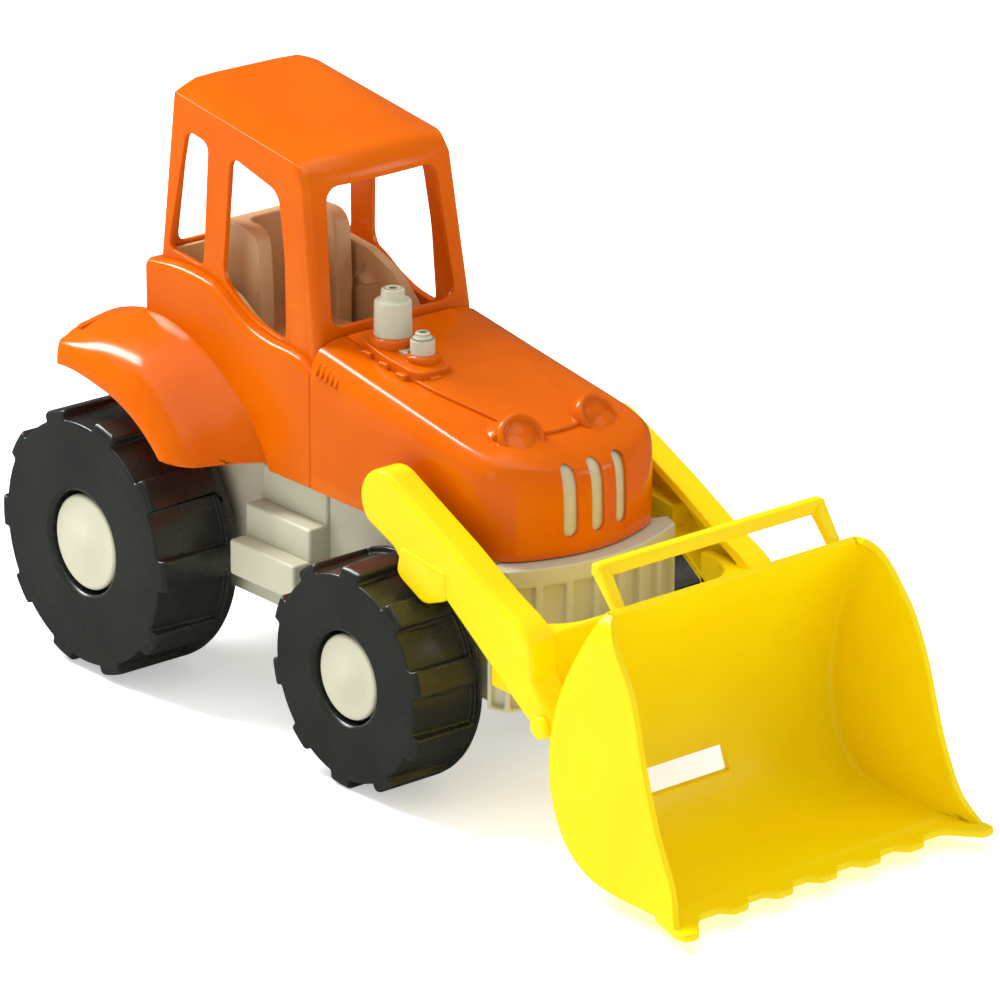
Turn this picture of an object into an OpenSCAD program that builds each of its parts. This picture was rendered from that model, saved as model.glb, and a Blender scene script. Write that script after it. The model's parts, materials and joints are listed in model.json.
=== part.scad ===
// Toy tractor with a front loader, for sand play.
// +Z is up, the loader points along -Y, and the origin lies on the ground
// under the middle of the toy. All sizes are in millimetres.

/* [Chassis] */
// Distance between the axles
wheelbase = 150; // [146:1:154]
// Wall thickness of the moulded parts
wall = 2.2; // [2:0.1:2.6]
// Half of the width of the chassis tub
tub_half = 34; // [33:0.5:35]

/* [Wheels] */
// Radius of a rear tyre
rear_r = 50.75; // [49:0.25:52]
// Width of a rear tyre
rear_w = 37; // [34:1:37]
// Distance of the rear tyre's outer face from the middle
rear_out = 74.05; // [74:0.05:76]
// Radius of a front tyre
front_r = 42.3; // [40:0.1:43]
// Width of a front tyre
front_w = 32; // [28:1:32]
// Distance of the front tyre's outer face from the middle
front_out = 69.7; // [69.5:0.1:71]
// Number of tread lugs around a tyre
lugs = 10; // [8:1:12]
// Height of a tread lug
lug_h = 2.4; // [1.5:0.1:3]
// Radius of an axle rod
axle_r = 2; // [1.8:0.1:2.5]

/* [Body] */
// Half of the width of the hood and of the cab's side walls
body_half = 40.5; // [39:0.5:41]
// Height of the hood at the windscreen
hood_top = 147.4; // [140:0.2:150]
// Height of the middle of the roof
roof_top = 223.5; // [215:0.5:230]
// Height of the lower edge of the body
body_low = 91.5; // [91.5:0.5:94]

/* [Loader] */
// Distance of an arm's inner face from the middle
arm_in = 46; // [46:0.5:48]
// Thickness of a loader arm
arm_t = 11.5; // [9:0.5:12]
// Half of the width of the bucket's body
bucket_half = 67.5; // [66:0.5:68]
// Half of the width of the bucket's grab handle
handle_half = 52.5; // [48:0.5:54]
// Number of teeth on the bucket's lip
teeth = 7; // [5:1:9]

/* [Fits] */
// Radial clearance of a running fit
run = 0.06; // [0.02:0.01:0.1]
// Gap between two moving parts that pass each other
gap = 0.4; // [0.3:0.1:0.6]

/* [Hidden] */
$fn = 48;
EPS = 0.01;

rear_y = 142.6;                 // rear axle
front_y = rear_y - wheelbase;   // front axle
deck_z = 92;                    // top of the chassis tub
tub_z = 36;                     // bottom of the chassis tub
seam_y = 47.6;                  // where the hood meets the cab
cab_back = 145;                 // back of the cab at the waist

arm_pivot = [-13.5, 107.5];     // [y, z] of the arms' hinge
arm_out = arm_in + arm_t;
pin_r = 4;                      // arm pivot pin
bucket_pivot = [-102, 51];      // [y, z] of the bucket's hinge
bucket_pin_r = 2.6;

// ---------- helpers ----------

// Points of an arc from angle a0 to a1 about [cx, cy].
function arc(cx, cy, r, a0, a1, n = 6) =
    [for (i = [0 : n]) let (a = a0 + (a1 - a0) * i / n) [cx + r * cos(a), cy + r * sin(a)]];

// The children and their mirror image across the middle plane.
module both_sides() {
    children();
    mirror([1, 0, 0]) children();
}

// An outline given as [y, z] points, extruded along X from x0 to x1.
module along_x(x0, x1) {
    translate([x0, 0, 0]) rotate([90, 0, 90]) linear_extrude(x1 - x0) children();
}

// A cylinder along X at [y, z], from x0 to x1.
module rod_x(at, r, x0, x1) {
    translate([x0, at[0], at[1]]) rotate([0, 90, 0]) cylinder(r = r, h = x1 - x0);
}

// A box given by its lowest and highest corners.
module box(low, high) {
    translate(low) cube(high - low);
}

// ---------- wheels ----------

// Depths are measured inwards from the tyre's outer face.
cap_sunk = 1.6;      // hubcap below the tyre's face
cap_t = 2;           // thickness of the hubcap
recess_depth = 9;    // floor of the recess that holds the hubcap
boss_top = 3.8;      // end of the boss that the hubcap snaps onto
boss_r = 8.7;
boss_hole_r = 6.5;
nut_r = 5;
tube_r = 5;          // tube around the axle

// A wheel's own frame: its axis is Z and its outer face is at z = w.
module place_wheel(y, r, w, out) {
    translate([out - w, y, r]) rotate([0, 90, 0]) children();
}

function tyre_outline(r, w, recess_r) = concat(
    [[axle_r + run, 0]],
    arc(r - 6, 6, 6, -90, 0),
    arc(r - 3.5, w - 3.5, 3.5, 0, 90),
    [[recess_r, w], [recess_r, w - recess_depth], [boss_r, w - recess_depth],
     [boss_r, w - boss_top], [boss_hole_r, w - boss_top],
     [boss_hole_r, w - recess_depth], [axle_r + run, w - recess_depth]]);

function tyre_hollow(r, w, recess_r) =
    let (out = r - lug_h - wall, floor = w - recess_depth - wall)
    [[tube_r, wall], [out - 5, wall], [out, wall + 5], [out, w - wall - 3], [out - 3, w - wall],
     [recess_r + wall, w - wall], [recess_r + wall, floor], [tube_r, floor]];

// One gap between two lugs, open to the outer face. It stops short of the inner face.
module tread_gap(r, w, angle) {
    pitch = 360 / lugs;
    half = pitch * 11 / 36;
    band = w * 0.2;
    far = r + 6;
    rotate([0, 0, angle]) difference() {
        translate([0, 0, band]) linear_extrude(w)
            polygon([[0, 0], far * [cos(half), -sin(half)], [far, 0], far * [cos(half), sin(half)]]);
        translate([0, 0, band - 1]) cylinder(r = r - lug_h, h = w + 2, $fn = 96);
    }
}

// lug_angle is where one lug stands, measured from +Y towards +Z.
module tyre(r, w, recess_r, lug_angle) {
    pitch = 360 / lugs;
    color("darkslategray") difference() {
        rotate_extrude($fn = 96) polygon(tyre_outline(r, w, recess_r));
        rotate_extrude($fn = 96) polygon(tyre_hollow(r, w, recess_r));
        for (i = [0 : lugs - 1]) tread_gap(r, w, 90 + lug_angle + pitch * (i + 0.5));
    }
}

module hubcap(w, cap_r) {
    top = w - cap_sunk;
    color("lightgray") rotate_extrude($fn = 64) polygon(concat(
        [[0, top - cap_t], [boss_r, top - cap_t], [boss_r, w - recess_depth + 0.5],
         [boss_r + 1.5, w - recess_depth + 0.5], [boss_r + 1.5, top - cap_t], [cap_r, top - cap_t]],
        arc(cap_r - 1, top - 1, 1, 0, 90, 3),
        [[0, top]]));
}

// A push nut: a blind cap on the end of the axle.
module axle_nut(w) {
    color("silver") translate([0, 0, w - recess_depth + 0.6]) difference() {
        cylinder(r = nut_r, h = 3.4);
        translate([0, 0, -1]) cylinder(r = axle_r, h = 3.6);
    }
}

REAR_LUG = -1;
FRONT_LUG = -13.5;
rear_recess = 20;
front_recess = 17.4;
rear_cap_r = 18.3;
front_cap_r = 15.8;

module rear_place() { place_wheel(rear_y, rear_r, rear_w, rear_out) children(); }
module front_place() { place_wheel(front_y, front_r, front_w, front_out) children(); }
module rear_tyre() { rear_place() tyre(rear_r, rear_w, rear_recess, REAR_LUG); }
module front_tyre() { front_place() tyre(front_r, front_w, front_recess, FRONT_LUG); }
module rear_hubcap() { rear_place() hubcap(rear_w, rear_cap_r); }
module front_hubcap() { front_place() hubcap(front_w, front_cap_r); }

module rear_tyre_left() { rear_tyre(); }
module rear_tyre_right() { mirror([1, 0, 0]) rear_tyre(); }
module front_tyre_left() { front_tyre(); }
module front_tyre_right() { mirror([1, 0, 0]) front_tyre(); }
module rear_hubcap_left() { rear_hubcap(); }
module rear_hubcap_right() { mirror([1, 0, 0]) rear_hubcap(); }
module front_hubcap_left() { front_hubcap(); }
module front_hubcap_right() { mirror([1, 0, 0]) front_hubcap(); }
module rear_axle_nuts() { both_sides() rear_place() axle_nut(rear_w); }
module front_axle_nuts() { both_sides() front_place() axle_nut(front_w); }

axle_sunk = recess_depth - 3.2;    // end of the axle below the tyre's face
module rear_axle() {
    half = rear_out - axle_sunk;
    color("silver") rod_x([rear_y, rear_r], axle_r, -half, half);
}
module front_axle() {
    half = front_out - axle_sunk;
    color("silver") rod_x([front_y, front_r], axle_r, -half, half);
}

// ---------- chassis ----------

step_y = [44.6, 82.6];                              // length of the steps
steps = [[51, 51, 64.7], [43.5, 64.7, 77], [35.5, 77, 91]];   // [half width, low, high]
nose_half = 42;
nose_front = -71;
nose_z = [38, 91];
screw_spots = [[20, -30], [26, 139.6], [28, 53]];   // [x, y] of the body screws
screw_r = 1.5;

// Plan outline of the radiator block, drawn smaller by the inset.
function nose_outline(inset) = let (h = nose_half - inset, f = nose_front + inset) concat(
    [[-tub_half + inset, -28 - inset], [-tub_half + inset, -52 - inset], [-h, -53.5 - inset]],
    [for (i = [0 : 8]) let (t = -1 + i / 4)
        [t * (h - 3), f + (1 - cos(t * 75)) * 13.5]],
    [[h, -53.5 - inset], [tub_half - inset, -52 - inset], [tub_half - inset, -28 - inset]]);

module step_blocks(inset) {
    for (s = steps)
        box([tub_half - 4, step_y[0] + inset, s[1] - (inset > 0 ? 2 * wall : 0)],
            [s[0] - inset, step_y[1] - inset, s[2] - inset]);
}

module chassis() {
    boss = 8;
    color("cornsilk") difference() {
        union() {
            box([-tub_half, front_y - 42, tub_z], [tub_half, 158, deck_z - 1]);
            translate([0, 0, nose_z[0]]) linear_extrude(nose_z[1] - nose_z[0])
                polygon(nose_outline(0));
            both_sides() {
                step_blocks(0);
                rod_x([rear_y, rear_r], boss, tub_half - 10, rear_out - rear_w - 1);
                rod_x([front_y, front_r], boss - 2, tub_half - 10, front_out - front_w - 1);
            }
            // towers inside the hood that carry the arm pins
            both_sides() difference() {
                along_x(32, 37.4) polygon(concat(
                    [[arm_pivot[0] - 9, deck_z - 3]],
                    [[arm_pivot[0] + 9, deck_z - 3]],
                    arc(arm_pivot[0], arm_pivot[1], 9, 0, 180, 12)));
            }
            // pale plate behind the slots of the hood
            along_x(-17, 17) polygon([[-60.5, deck_z - 3], [-58.5, deck_z - 3], [-49.4, 125.4], [-51.4, 125.4]]);
        }
        // the tub and the nose are open underneath
        box([-tub_half + wall, front_y - 42 + wall, tub_z - 1], [tub_half - wall, 158 - wall, deck_z - 1 - wall]);
        difference() {
            translate([0, 0, nose_z[0] - 1]) linear_extrude(nose_z[1] - nose_z[0] + 1 - wall)
                polygon(nose_outline(wall));
            box([-60, -30, 0], [60, 0, 200]);
        }
        both_sides() difference() {
            step_blocks(wall);
            box([0, 0, 0], [tub_half, 100, 100]);
        }
        rod_x([rear_y, rear_r], axle_r + 0.05, -60, 60);
        rod_x([front_y, front_r], axle_r + 0.05, -60, 60);
        both_sides() rod_x(arm_pivot, pin_r + 0.02, 20, 60);
        both_sides() for (s = screw_spots)
            translate([s[0], s[1], deck_z - 10]) cylinder(r = screw_r + 0.2, h = 20);
    }
}

// Self-tapping screws, put in from below through the deck.
module body_screws() {
    under = deck_z - 1 - wall;
    color("silver") both_sides() for (s = screw_spots) translate([s[0], s[1], 0]) {
        translate([0, 0, under - 2]) cylinder(r = 3.2, h = 2);
        translate([0, 0, under - EPS]) cylinder(r = screw_r, h = 13);
    }
}

// ---------- hood ----------

hood_front = -64.4;
hood_nose_z = 131;                   // top of the hood behind the grille
slot_x = [-11.7, 0, 11.7];
slot_z = [98, 124];
slot_half = 2.4;

// One upright slice of the hood at y: half width w at the foot, shoulder height s, top h.
module hood_slice(y, w, s, h, inset, low) {
    translate([0, y, 0]) rotate([90, 0, 0]) linear_extrude(EPS) polygon(concat(
        [[w - inset, low]],
        [for (a = [0 : 15 : 90])
            [(w - inset) * (0.55 + 0.45 * cos(a)), s + (h - inset - s) * sin(a)]],
        [for (a = [90 : -15 : 0])
            [-(w - inset) * (0.55 + 0.45 * cos(a)), s + (h - inset - s) * sin(a)]],
        [[-(w - inset), low]]));
}

module hood_solid(inset) {
    low = body_low - (inset > 0 ? 5 : 0);
    hull() {
        hood_slice(seam_y - inset, body_half, hood_top - 12, hood_top, inset, low);
        hood_slice(-30, body_half, 114, 138, inset, low);
        hood_slice(-48 + inset, body_half - 1.5, 108, hood_nose_z, inset, low);
        hood_slice(-58 + inset, body_half - 9, 108, 126, inset, low);
        hood_slice(hood_front + inset, body_half - 24, 108, 119, inset, low);
    }
}

// A screw post that hangs from a cover down to the deck.
module screw_post(at, top) {
    translate([at[0], at[1], deck_z]) difference() {
        cylinder(r = 3.6, h = top - deck_z);
        translate([0, 0, -1]) cylinder(r = screw_r, h = 14);
    }
}

module hood_shell() {
    color("darkorange") {
        difference() {
            hood_solid(0);
            hood_solid(wall);
            for (x = slot_x) {
                box([x - slot_half, hood_front - 5, slot_z[0] + slot_half],
                    [x + slot_half, -50, slot_z[1] - slot_half]);
                for (z = [slot_z[0] + slot_half, slot_z[1] - slot_half])
                    translate([x, -50, z]) rotate([90, 0, 0]) cylinder(r = slot_half, h = 30);
            }
            both_sides() rod_x(arm_pivot, pin_r + 1, 25, 60);
            stack_bases(0.02);
        }
        both_sides() screw_post(screw_spots[0], 135.5);
        // headlight bumps
        both_sides() translate([22.4, -44, 127]) sphere(r = 6.5);
    }
}

// ---------- cab ----------

cab_half = 36.3;                      // half width of the cab above the waist
roof_half = 33.4;
roof_y = [66, 135.1];
roof_z = [208.9, 219.2];
fender_at = [144.4, 52];               // [y, z] of the axis that a fender curves about
fender_half = 70;                     // outer edge of a fender
fender_back = 164.5;
fender_low = 94.5;
arch_r = 83.5;                        // radius of a fender where it meets the cab
lip_r = 62;                           // radius of its outer lip
house_in = 34.6;                      // wheel house walls, inboard of the rear tyres
house_out = 36.6;
floor_z = 118;                        // underside of the cab floor

// Lower part of the cab seen from the side, with its S-shaped belt line.
cab_lower = [[seam_y + EPS, body_low], [cab_back, body_low], [cab_back, 154.6], [128, 156],
             [106, 154], [95, 149], [84, 144], [72, 142], [58, 143], [seam_y + EPS, 145.5]];

// Upper part of the cab seen from the side, drawn smaller by the inset.
function cab_upper(inset) = [
    [seam_y + EPS + inset, 140], [cab_back - 4 - inset, 140], [cab_back - 4 - inset, 152],
    [roof_y[1] - inset, roof_z[1] - inset], [roof_y[0] + inset, roof_z[0] - inset],
    [57.5 + inset, 202], [seam_y + EPS + inset, 144]];

module cab_solid(inset) {
    along_x(-body_half + inset, body_half - inset) offset(delta = -inset) polygon(cab_lower);
    hull() {
        box([-cab_half + inset, seam_y + EPS + inset, 140], [cab_half - inset, cab_back - 4 - inset, 144]);
        along_x(-roof_half + inset, roof_half - inset) polygon(cab_upper(inset));
        box([-14, roof_y[1] - 8, roof_top - 1 - inset], [14, roof_y[1] - 4, roof_top - inset]);
    }
}

front_window = [[73, 195.8], [100, 202.5], [103.9, 157], [95, 152], [84, 146.5], [67, 145.5], [68.4, 171.9]];
rear_window = [[114.5, 204.5], [127, 206.6], [136.5, 160], [116.5, 158.5]];

// Section of a fender as [radius, x], drawn inwards by t.
function fender_line(t) = [[arch_r - t, house_in], [arch_r - t, body_half + 0.4], [79 - t, 54],
    [75 - t, 62.5 - t / 3], [70 - t, 68 - t], [lip_r, fender_half - t]];

// A curved shell about the fender's axis, cut off behind and below.
module fender() {
    inner = fender_line(wall);
    difference() {
        translate([0, fender_at[0], fender_at[1]]) rotate([0, 0, 90]) rotate([90, 0, 0])
            rotate([0, 0, 60]) rotate_extrude(angle = 105, $fn = 120)
            polygon(concat(fender_line(0), [for (i = [5 : -1 : 0]) inner[i]]));
        box([0, fender_back, 0], [100, 300, 300]);
        box([0, 0, 0], [100, 300, fender_low]);
    }
}

// The wall between the cab and a rear tyre.
module wheel_house() {
    difference() {
        along_x(house_in, house_out) polygon(concat(
            [[cab_back - 1.2, body_low]], arc(fender_at[0], fender_at[1], arch_r - 1, 90.8, 150, 16),
            [[80, body_low]]));
        rod_x([rear_y, rear_r], 12, 0, 60);
    }
}

module cab_shell() {
    color("orange") {
        difference() {
            cab_solid(0);
            cab_solid(wall);
            box([-body_half + wall, seam_y + wall, 0], [body_half - wall, cab_back - wall, body_low + wall + 1]);
            along_x(-60, 60) polygon(front_window);
            along_x(-60, 60) polygon(rear_window);
            // windscreen and rear window
            translate([0, 100, 0]) rotate([90, 0, 0]) linear_extrude(80)
                polygon([[-29.5, 149.5], [29.5, 149.5], [26, 200.5], [-26, 200.5]]);
            translate([0, 180, 0]) rotate([90, 0, 0]) linear_extrude(80)
                polygon([[-31, 160], [31, 160], [27, 209], [-27, 209]]);
            // wheel arches
            both_sides() rod_x(fender_at, arch_r - 1, house_out, 60);
        }
        both_sides() {
            fender();
            wheel_house();
            screw_post(screw_spots[1], floor_z - 0.2);
            screw_post(screw_spots[2], floor_z - 0.2);
        }
    }
}

// Floor, side consoles, bulkhead, seat and dashboard in one moulding, hollow from below.
module cab_interior() {
    low = house_in - 0.3;
    back = cab_back - 4 - wall - 1;
    skin = 1.8;
    color("tan") difference() {
        union() {
            box([-low, seam_y + 3, floor_z], [low, back, floor_z + 2.2]);
            box([-low, back - 2.2, 119], [low, back, 152.6]);
            box([-32.3, back - 2.2, 150], [32.3, back, 159.5]);
            both_sides() along_x(low - 9, low) polygon(
                [[60, 119], [60, 131], [84, 137], [100, 146], [116, 151.6], [137.5, 152.6], [137.5, 119]]);
            box([-17, 92, 119], [17, 124, 131]);
            box([-20, 116, 119], [20, 126, 171]);
            both_sides() box([17, 100, 119], [22, 126, 154]);
            box([-18, 58, 119], [18, 68, 137]);
        }
        both_sides() {
            along_x(low - 9 + skin, low - skin) polygon(
                [[62, 117], [62, 129.4], [84, 135], [100, 144], [116, 149.6], [135.6, 150.6], [135.6, 117]]);
            box([22.5, back - 5, 147], [27.5, back + 5, 152]);
        }
        box([-15.2, 94, 117], [15.2, 114.2, 129.2]);
        box([-18.2, 117.8, 117], [18.2, 124.2, 169.2]);
        box([-16.2, 59.8, 117], [16.2, 66.2, 135.2]);
    }
}

big_stack = [-15.5, 31];     // [x, y] of the exhaust stacks
small_stack = [-14.5, 15.5];

// Lower parts of the two stacks and the bridge between them, drawn larger by the gap.
module stack_bases(gap) {
    translate([big_stack[0], big_stack[1], 140.5 - gap]) cylinder(r = 7 + gap, h = 22.5);
    translate([small_stack[0], small_stack[1], 138.5 - gap]) cylinder(r = 4.6 + gap, h = 13.5);
    box([-19 - gap, 15, 139 - gap], [-11 + gap, 31, 144 + gap]);
}

// Two stacks on one base, pushed into openings of the hood from above.
module exhaust_stacks() {
    color("gainsboro") {
        stack_bases(0);
        translate([big_stack[0], big_stack[1], 163 - EPS]) cylinder(r = 4.2, h = 4);
        translate([small_stack[0], small_stack[1], 152 - EPS]) cylinder(r = 2.8, h = 2.4);
    }
}

// ---------- loader ----------

panel_y = -93.5;            // front of the cross panel
panel_z = [53, 80];

// Side outline of an arm with its stop tab, as [y, z].
function arm_outline() = concat(
    arc(arm_pivot[0], arm_pivot[1], 12, 118, -50, 14),
    [[-19.8, 92.6], [-31, 81.5], [-34, 79.8], [-45.8, 80.2], [-48.4, 81.6], [-91.6, 51.2]],
    arc(bucket_pivot[0], bucket_pivot[1], 5, -90, -215, 10),
    [[-96, 68], [-95, 80], [-89.2, 83.5], [-75.8, 89], [-54.2, 101]]);

// Cross panel between the arms in plan: straight in front, curved into the arms behind.
function panel_outline() = let (r = 18, x = arm_in - r, side = arm_in + 1) concat(
    [[-side, panel_y], [-side, panel_y + 3.5 + 24], [-arm_in, panel_y + 3.5 + 24]],
    arc(-x, panel_y + 3.5 + r, r, 180, 270, 8),
    arc(x, panel_y + 3.5 + r, r, 270, 360, 8),
    [[arm_in, panel_y + 3.5 + 24], [side, panel_y + 3.5 + 24], [side, panel_y]]);

module loader_arms() {
    color("gold") difference() {
        union() {
            both_sides() along_x(arm_in, arm_out) polygon(arm_outline());
            translate([0, 0, panel_z[0]]) linear_extrude(panel_z[1] - panel_z[0]) polygon(panel_outline());
        }
        // each arm is a channel, open towards the middle, with bosses around its pins
        both_sides() difference() {
            along_x(arm_in - 1, arm_out - wall) offset(delta = -wall) polygon(arm_outline());
            rod_x(arm_pivot, pin_r + 2.5, arm_in - 2, arm_out);
            box([arm_in - 2, panel_y - 20, 40], [arm_out, panel_y + 4, 90]);
        }
        both_sides() rod_x(arm_pivot, pin_r + run, arm_in - 2, arm_out - 2.5);
        both_sides() rod_x(bucket_pivot, bucket_pin_r + run, arm_in - 1, arm_out + 1);
    }
}

module arm_pivot_pins() {
    color("gold") both_sides() {
        rod_x(arm_pivot, 6.5, 29.4, 32);
        rod_x(arm_pivot, pin_r, 32 - EPS, arm_out - 3);
    }
}

// Outside of the bucket seen from the side, from the top of its back down to the lip.
bucket_back = [[-134, 103], [-129, 93.5], [-122.2, 81], [-117.6, 68.5], [-114.2, 54], [-113.3, 43],
               [-114.3, 33], [-117.2, 24.5], [-121.5, 17], [-127.6, 11], [-135.9, 7], [-145, 5.2],
               [-156, 4.8], [-173, 5.4]];
// Front edge of a side plate, from the lip up to the top corner.
bucket_front = [[-183, 5.4], [-182.5, 17], [-177, 27], [-170.2, 40], [-163.8, 58], [-156.5, 79.5],
                [-147, 92], [-141, 101], [-138, 103]];
lip_y = -193.35;                     // tips of the corner teeth
lip_z = 5.5;
lip_half = 72.8;
lip_t = 2.4;
lip_base = -181;                     // lip between the teeth
tooth_y = -186;                      // tips of the other teeth
tooth_pitch = 20.5;

// The back's curve drawn inside the wall.
function bucket_inner() = [for (p = bucket_back)
    let (c = [-172, 62], d = p - c) c + d * (1 - 2.6 / norm(d))];

module bucket() {
    ear = [arm_in - gap - 5.2, arm_in - gap];
    last = (teeth - 3) / 2;
    color("yellow") difference() {
        union() {
            difference() {
                along_x(-bucket_half, bucket_half) polygon(concat(bucket_back, bucket_front));
                along_x(-bucket_half + 2.5, bucket_half - 2.5) polygon(concat(
                    [[-140, 120]], bucket_inner(), [[-230, lip_z + lip_t], [-230, 120]]));
            }
            // lip with its teeth; the corner teeth are the longest
            translate([0, 0, lip_z]) linear_extrude(lip_t) {
                polygon([[-bucket_half, -172], [-bucket_half, lip_base], [bucket_half, lip_base],
                         [bucket_half, -172]]);
                for (i = [-last : last]) translate([i * tooth_pitch, 0]) polygon(
                    [[-8, lip_base + 1], [-3.2, tooth_y], [3.2, tooth_y], [8, lip_base + 1]]);
                for (m = [-1, 1]) polygon(
                    [[m * 56, lip_base + 1], [m * 62.5, lip_y + 5], [m * 66, lip_y],
                     [m * (lip_half - 1), lip_y], [m * lip_half, lip_y + 4], [m * (bucket_half - 1), -174]]);
            }
            both_sides() hull() {
                translate([bucket_half - 2.5, -176, lip_z]) cube([2.5, 1, 24]);
                translate([lip_half - 3.2, lip_y + 6, lip_z]) cube([2.5, 1, 8]);
            }
            // pivot ears behind the bucket
            both_sides() along_x(ear[0], ear[1]) polygon(concat(
                [[-116, 64]], arc(bucket_pivot[0], bucket_pivot[1], 5.5, 70, -70, 8), [[-115, 37]]));
            // grab handle
            both_sides() along_x(handle_half - 5, handle_half) polygon(
                [[-129.5, 100], [-134.8, 100], [-124.6, 115.5], [-119.4, 115.5], [-119.4, 111]]);
            box([-handle_half, -124.6, 110.3], [handle_half, -119.4, 115.5]);
        }
        both_sides() rod_x(bucket_pivot, bucket_pin_r, ear[0] - 1, ear[1] + 1);
        // slot low in the back
        along_x(-29.5, 12.5) polygon([[-126, 22.2], [-126, 31], [-106, 36], [-106, 17]]);
    }
}

module bucket_pins() {
    color("gold") both_sides() {
        rod_x(bucket_pivot, bucket_pin_r, arm_in - gap - 5.2, arm_out + gap + EPS);
        rod_x(bucket_pivot, 4, arm_out + gap, arm_out + gap + 2.6);
    }
}

chassis();
hood_shell();
cab_shell();
cab_interior();
exhaust_stacks();
front_axle();
rear_axle();
front_axle_nuts();
rear_axle_nuts();
rear_tyre_left();
rear_tyre_right();
front_tyre_left();
front_tyre_right();
rear_hubcap_left();
rear_hubcap_right();
front_hubcap_left();
front_hubcap_right();
arm_pivot_pins();
loader_arms();
bucket();
bucket_pins();
body_screws();
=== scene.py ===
# %% [markdown]
# # A toy tractor with a front loader
# This lesson dresses a sand-box tractor: an orange hood and cab, a cream chassis, chunky dark
# tyres and a yellow loader. The real toy is injection-moulded plastic, so every piece has walls
# of even thickness, soft edges where the mould was rounded, and a clear satin or glossy skin.
# The engineering model is loaded first and never changed. The pieces that show are then modelled
# again with bmesh operators, in millimetres, exactly where the engineering model has them.

# %% Load the frame
import json
import math

import bmesh
import bpy
from mathutils import Matrix, Vector


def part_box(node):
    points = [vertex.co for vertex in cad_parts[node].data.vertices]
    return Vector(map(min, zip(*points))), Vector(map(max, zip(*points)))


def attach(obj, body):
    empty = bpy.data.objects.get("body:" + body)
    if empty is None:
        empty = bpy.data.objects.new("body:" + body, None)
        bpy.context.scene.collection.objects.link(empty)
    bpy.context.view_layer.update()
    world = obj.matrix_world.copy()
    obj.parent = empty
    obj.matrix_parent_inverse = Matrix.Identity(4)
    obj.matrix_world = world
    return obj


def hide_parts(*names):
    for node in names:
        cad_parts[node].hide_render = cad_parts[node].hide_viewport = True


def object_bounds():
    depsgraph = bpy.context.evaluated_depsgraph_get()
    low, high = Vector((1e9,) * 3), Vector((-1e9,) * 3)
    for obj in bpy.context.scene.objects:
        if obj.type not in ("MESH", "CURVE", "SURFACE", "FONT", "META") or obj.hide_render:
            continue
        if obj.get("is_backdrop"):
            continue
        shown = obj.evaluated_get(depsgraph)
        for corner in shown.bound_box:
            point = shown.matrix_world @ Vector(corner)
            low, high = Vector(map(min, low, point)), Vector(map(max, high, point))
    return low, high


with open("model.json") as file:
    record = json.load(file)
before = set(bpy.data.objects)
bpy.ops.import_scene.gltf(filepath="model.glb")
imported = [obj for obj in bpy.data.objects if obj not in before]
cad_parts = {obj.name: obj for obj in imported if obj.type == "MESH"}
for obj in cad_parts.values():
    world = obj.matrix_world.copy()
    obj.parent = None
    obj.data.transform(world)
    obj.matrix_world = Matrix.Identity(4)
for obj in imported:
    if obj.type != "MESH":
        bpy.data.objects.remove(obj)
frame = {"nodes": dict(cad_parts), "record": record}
CAD_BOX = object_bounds()
MM = 0.001


def node_box(node):
    """Lowest and highest corner of an engineering node, in millimetres."""
    low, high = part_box(node)
    return low / MM, high / MM


# %% [markdown]
# ## The camera
# A long lens from far away keeps the toy's lines almost parallel, as a catalogue picture does.
# The camera is placed by turning round a target point, which is easier to adjust than a
# position and three rotations.

# %% Place the camera
AZIMUTH, ELEVATION, ROLL = math.radians(-40.15), math.radians(20.33), math.radians(0.23)
TARGET = Vector((0.0430, 0.0406, 0.0696))
DISTANCE, LENS = 2.2266, 216.98
camera_data = bpy.data.cameras.new("camera")
camera_data.sensor_width = 36
camera_data.lens = LENS
camera = bpy.data.objects.new("camera", camera_data)
bpy.context.scene.collection.objects.link(camera)
bpy.context.scene.camera = camera
turn = Matrix.Rotation(AZIMUTH, 4, "Z") @ Matrix.Rotation(math.pi / 2 - ELEVATION, 4, "X")
turn = turn @ Matrix.Rotation(ROLL, 4, "Z")
camera.matrix_world = Matrix.Translation(TARGET) @ turn @ Matrix.Translation((0, 0, DISTANCE))
print("camera at", [round(x, 3) for x in camera.matrix_world.translation])

# %% [markdown]
# ## Floor and light
# A glossy plastic toy is only as good as what it reflects. Large soft panels give the long
# highlights along the hood and the roof, and a nearly white floor and sky fill the shadows.
# Mirrored in the plastic, they would wash its colour out, so reflections see a darker floor and
# a darker sky. The floor also glows a little, as a light table does, to keep its shadows soft.

# %% Build the floor and the lights
scene = bpy.context.scene
scene.view_settings.view_transform = "Standard"


def darker_in_mirrors(tree, seen, mirrored, output):
    """Shows one shader to the eye and a darker one in reflections."""
    ray = tree.nodes.new("ShaderNodeLightPath")
    either = tree.nodes.new("ShaderNodeMixShader")
    tree.links.new(ray.outputs["Is Glossy Ray"], either.inputs["Fac"])
    tree.links.new(seen, either.inputs[1])
    tree.links.new(mirrored, either.inputs[2])
    tree.links.new(either.outputs["Shader"], tree.nodes[output].inputs["Surface"])


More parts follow.
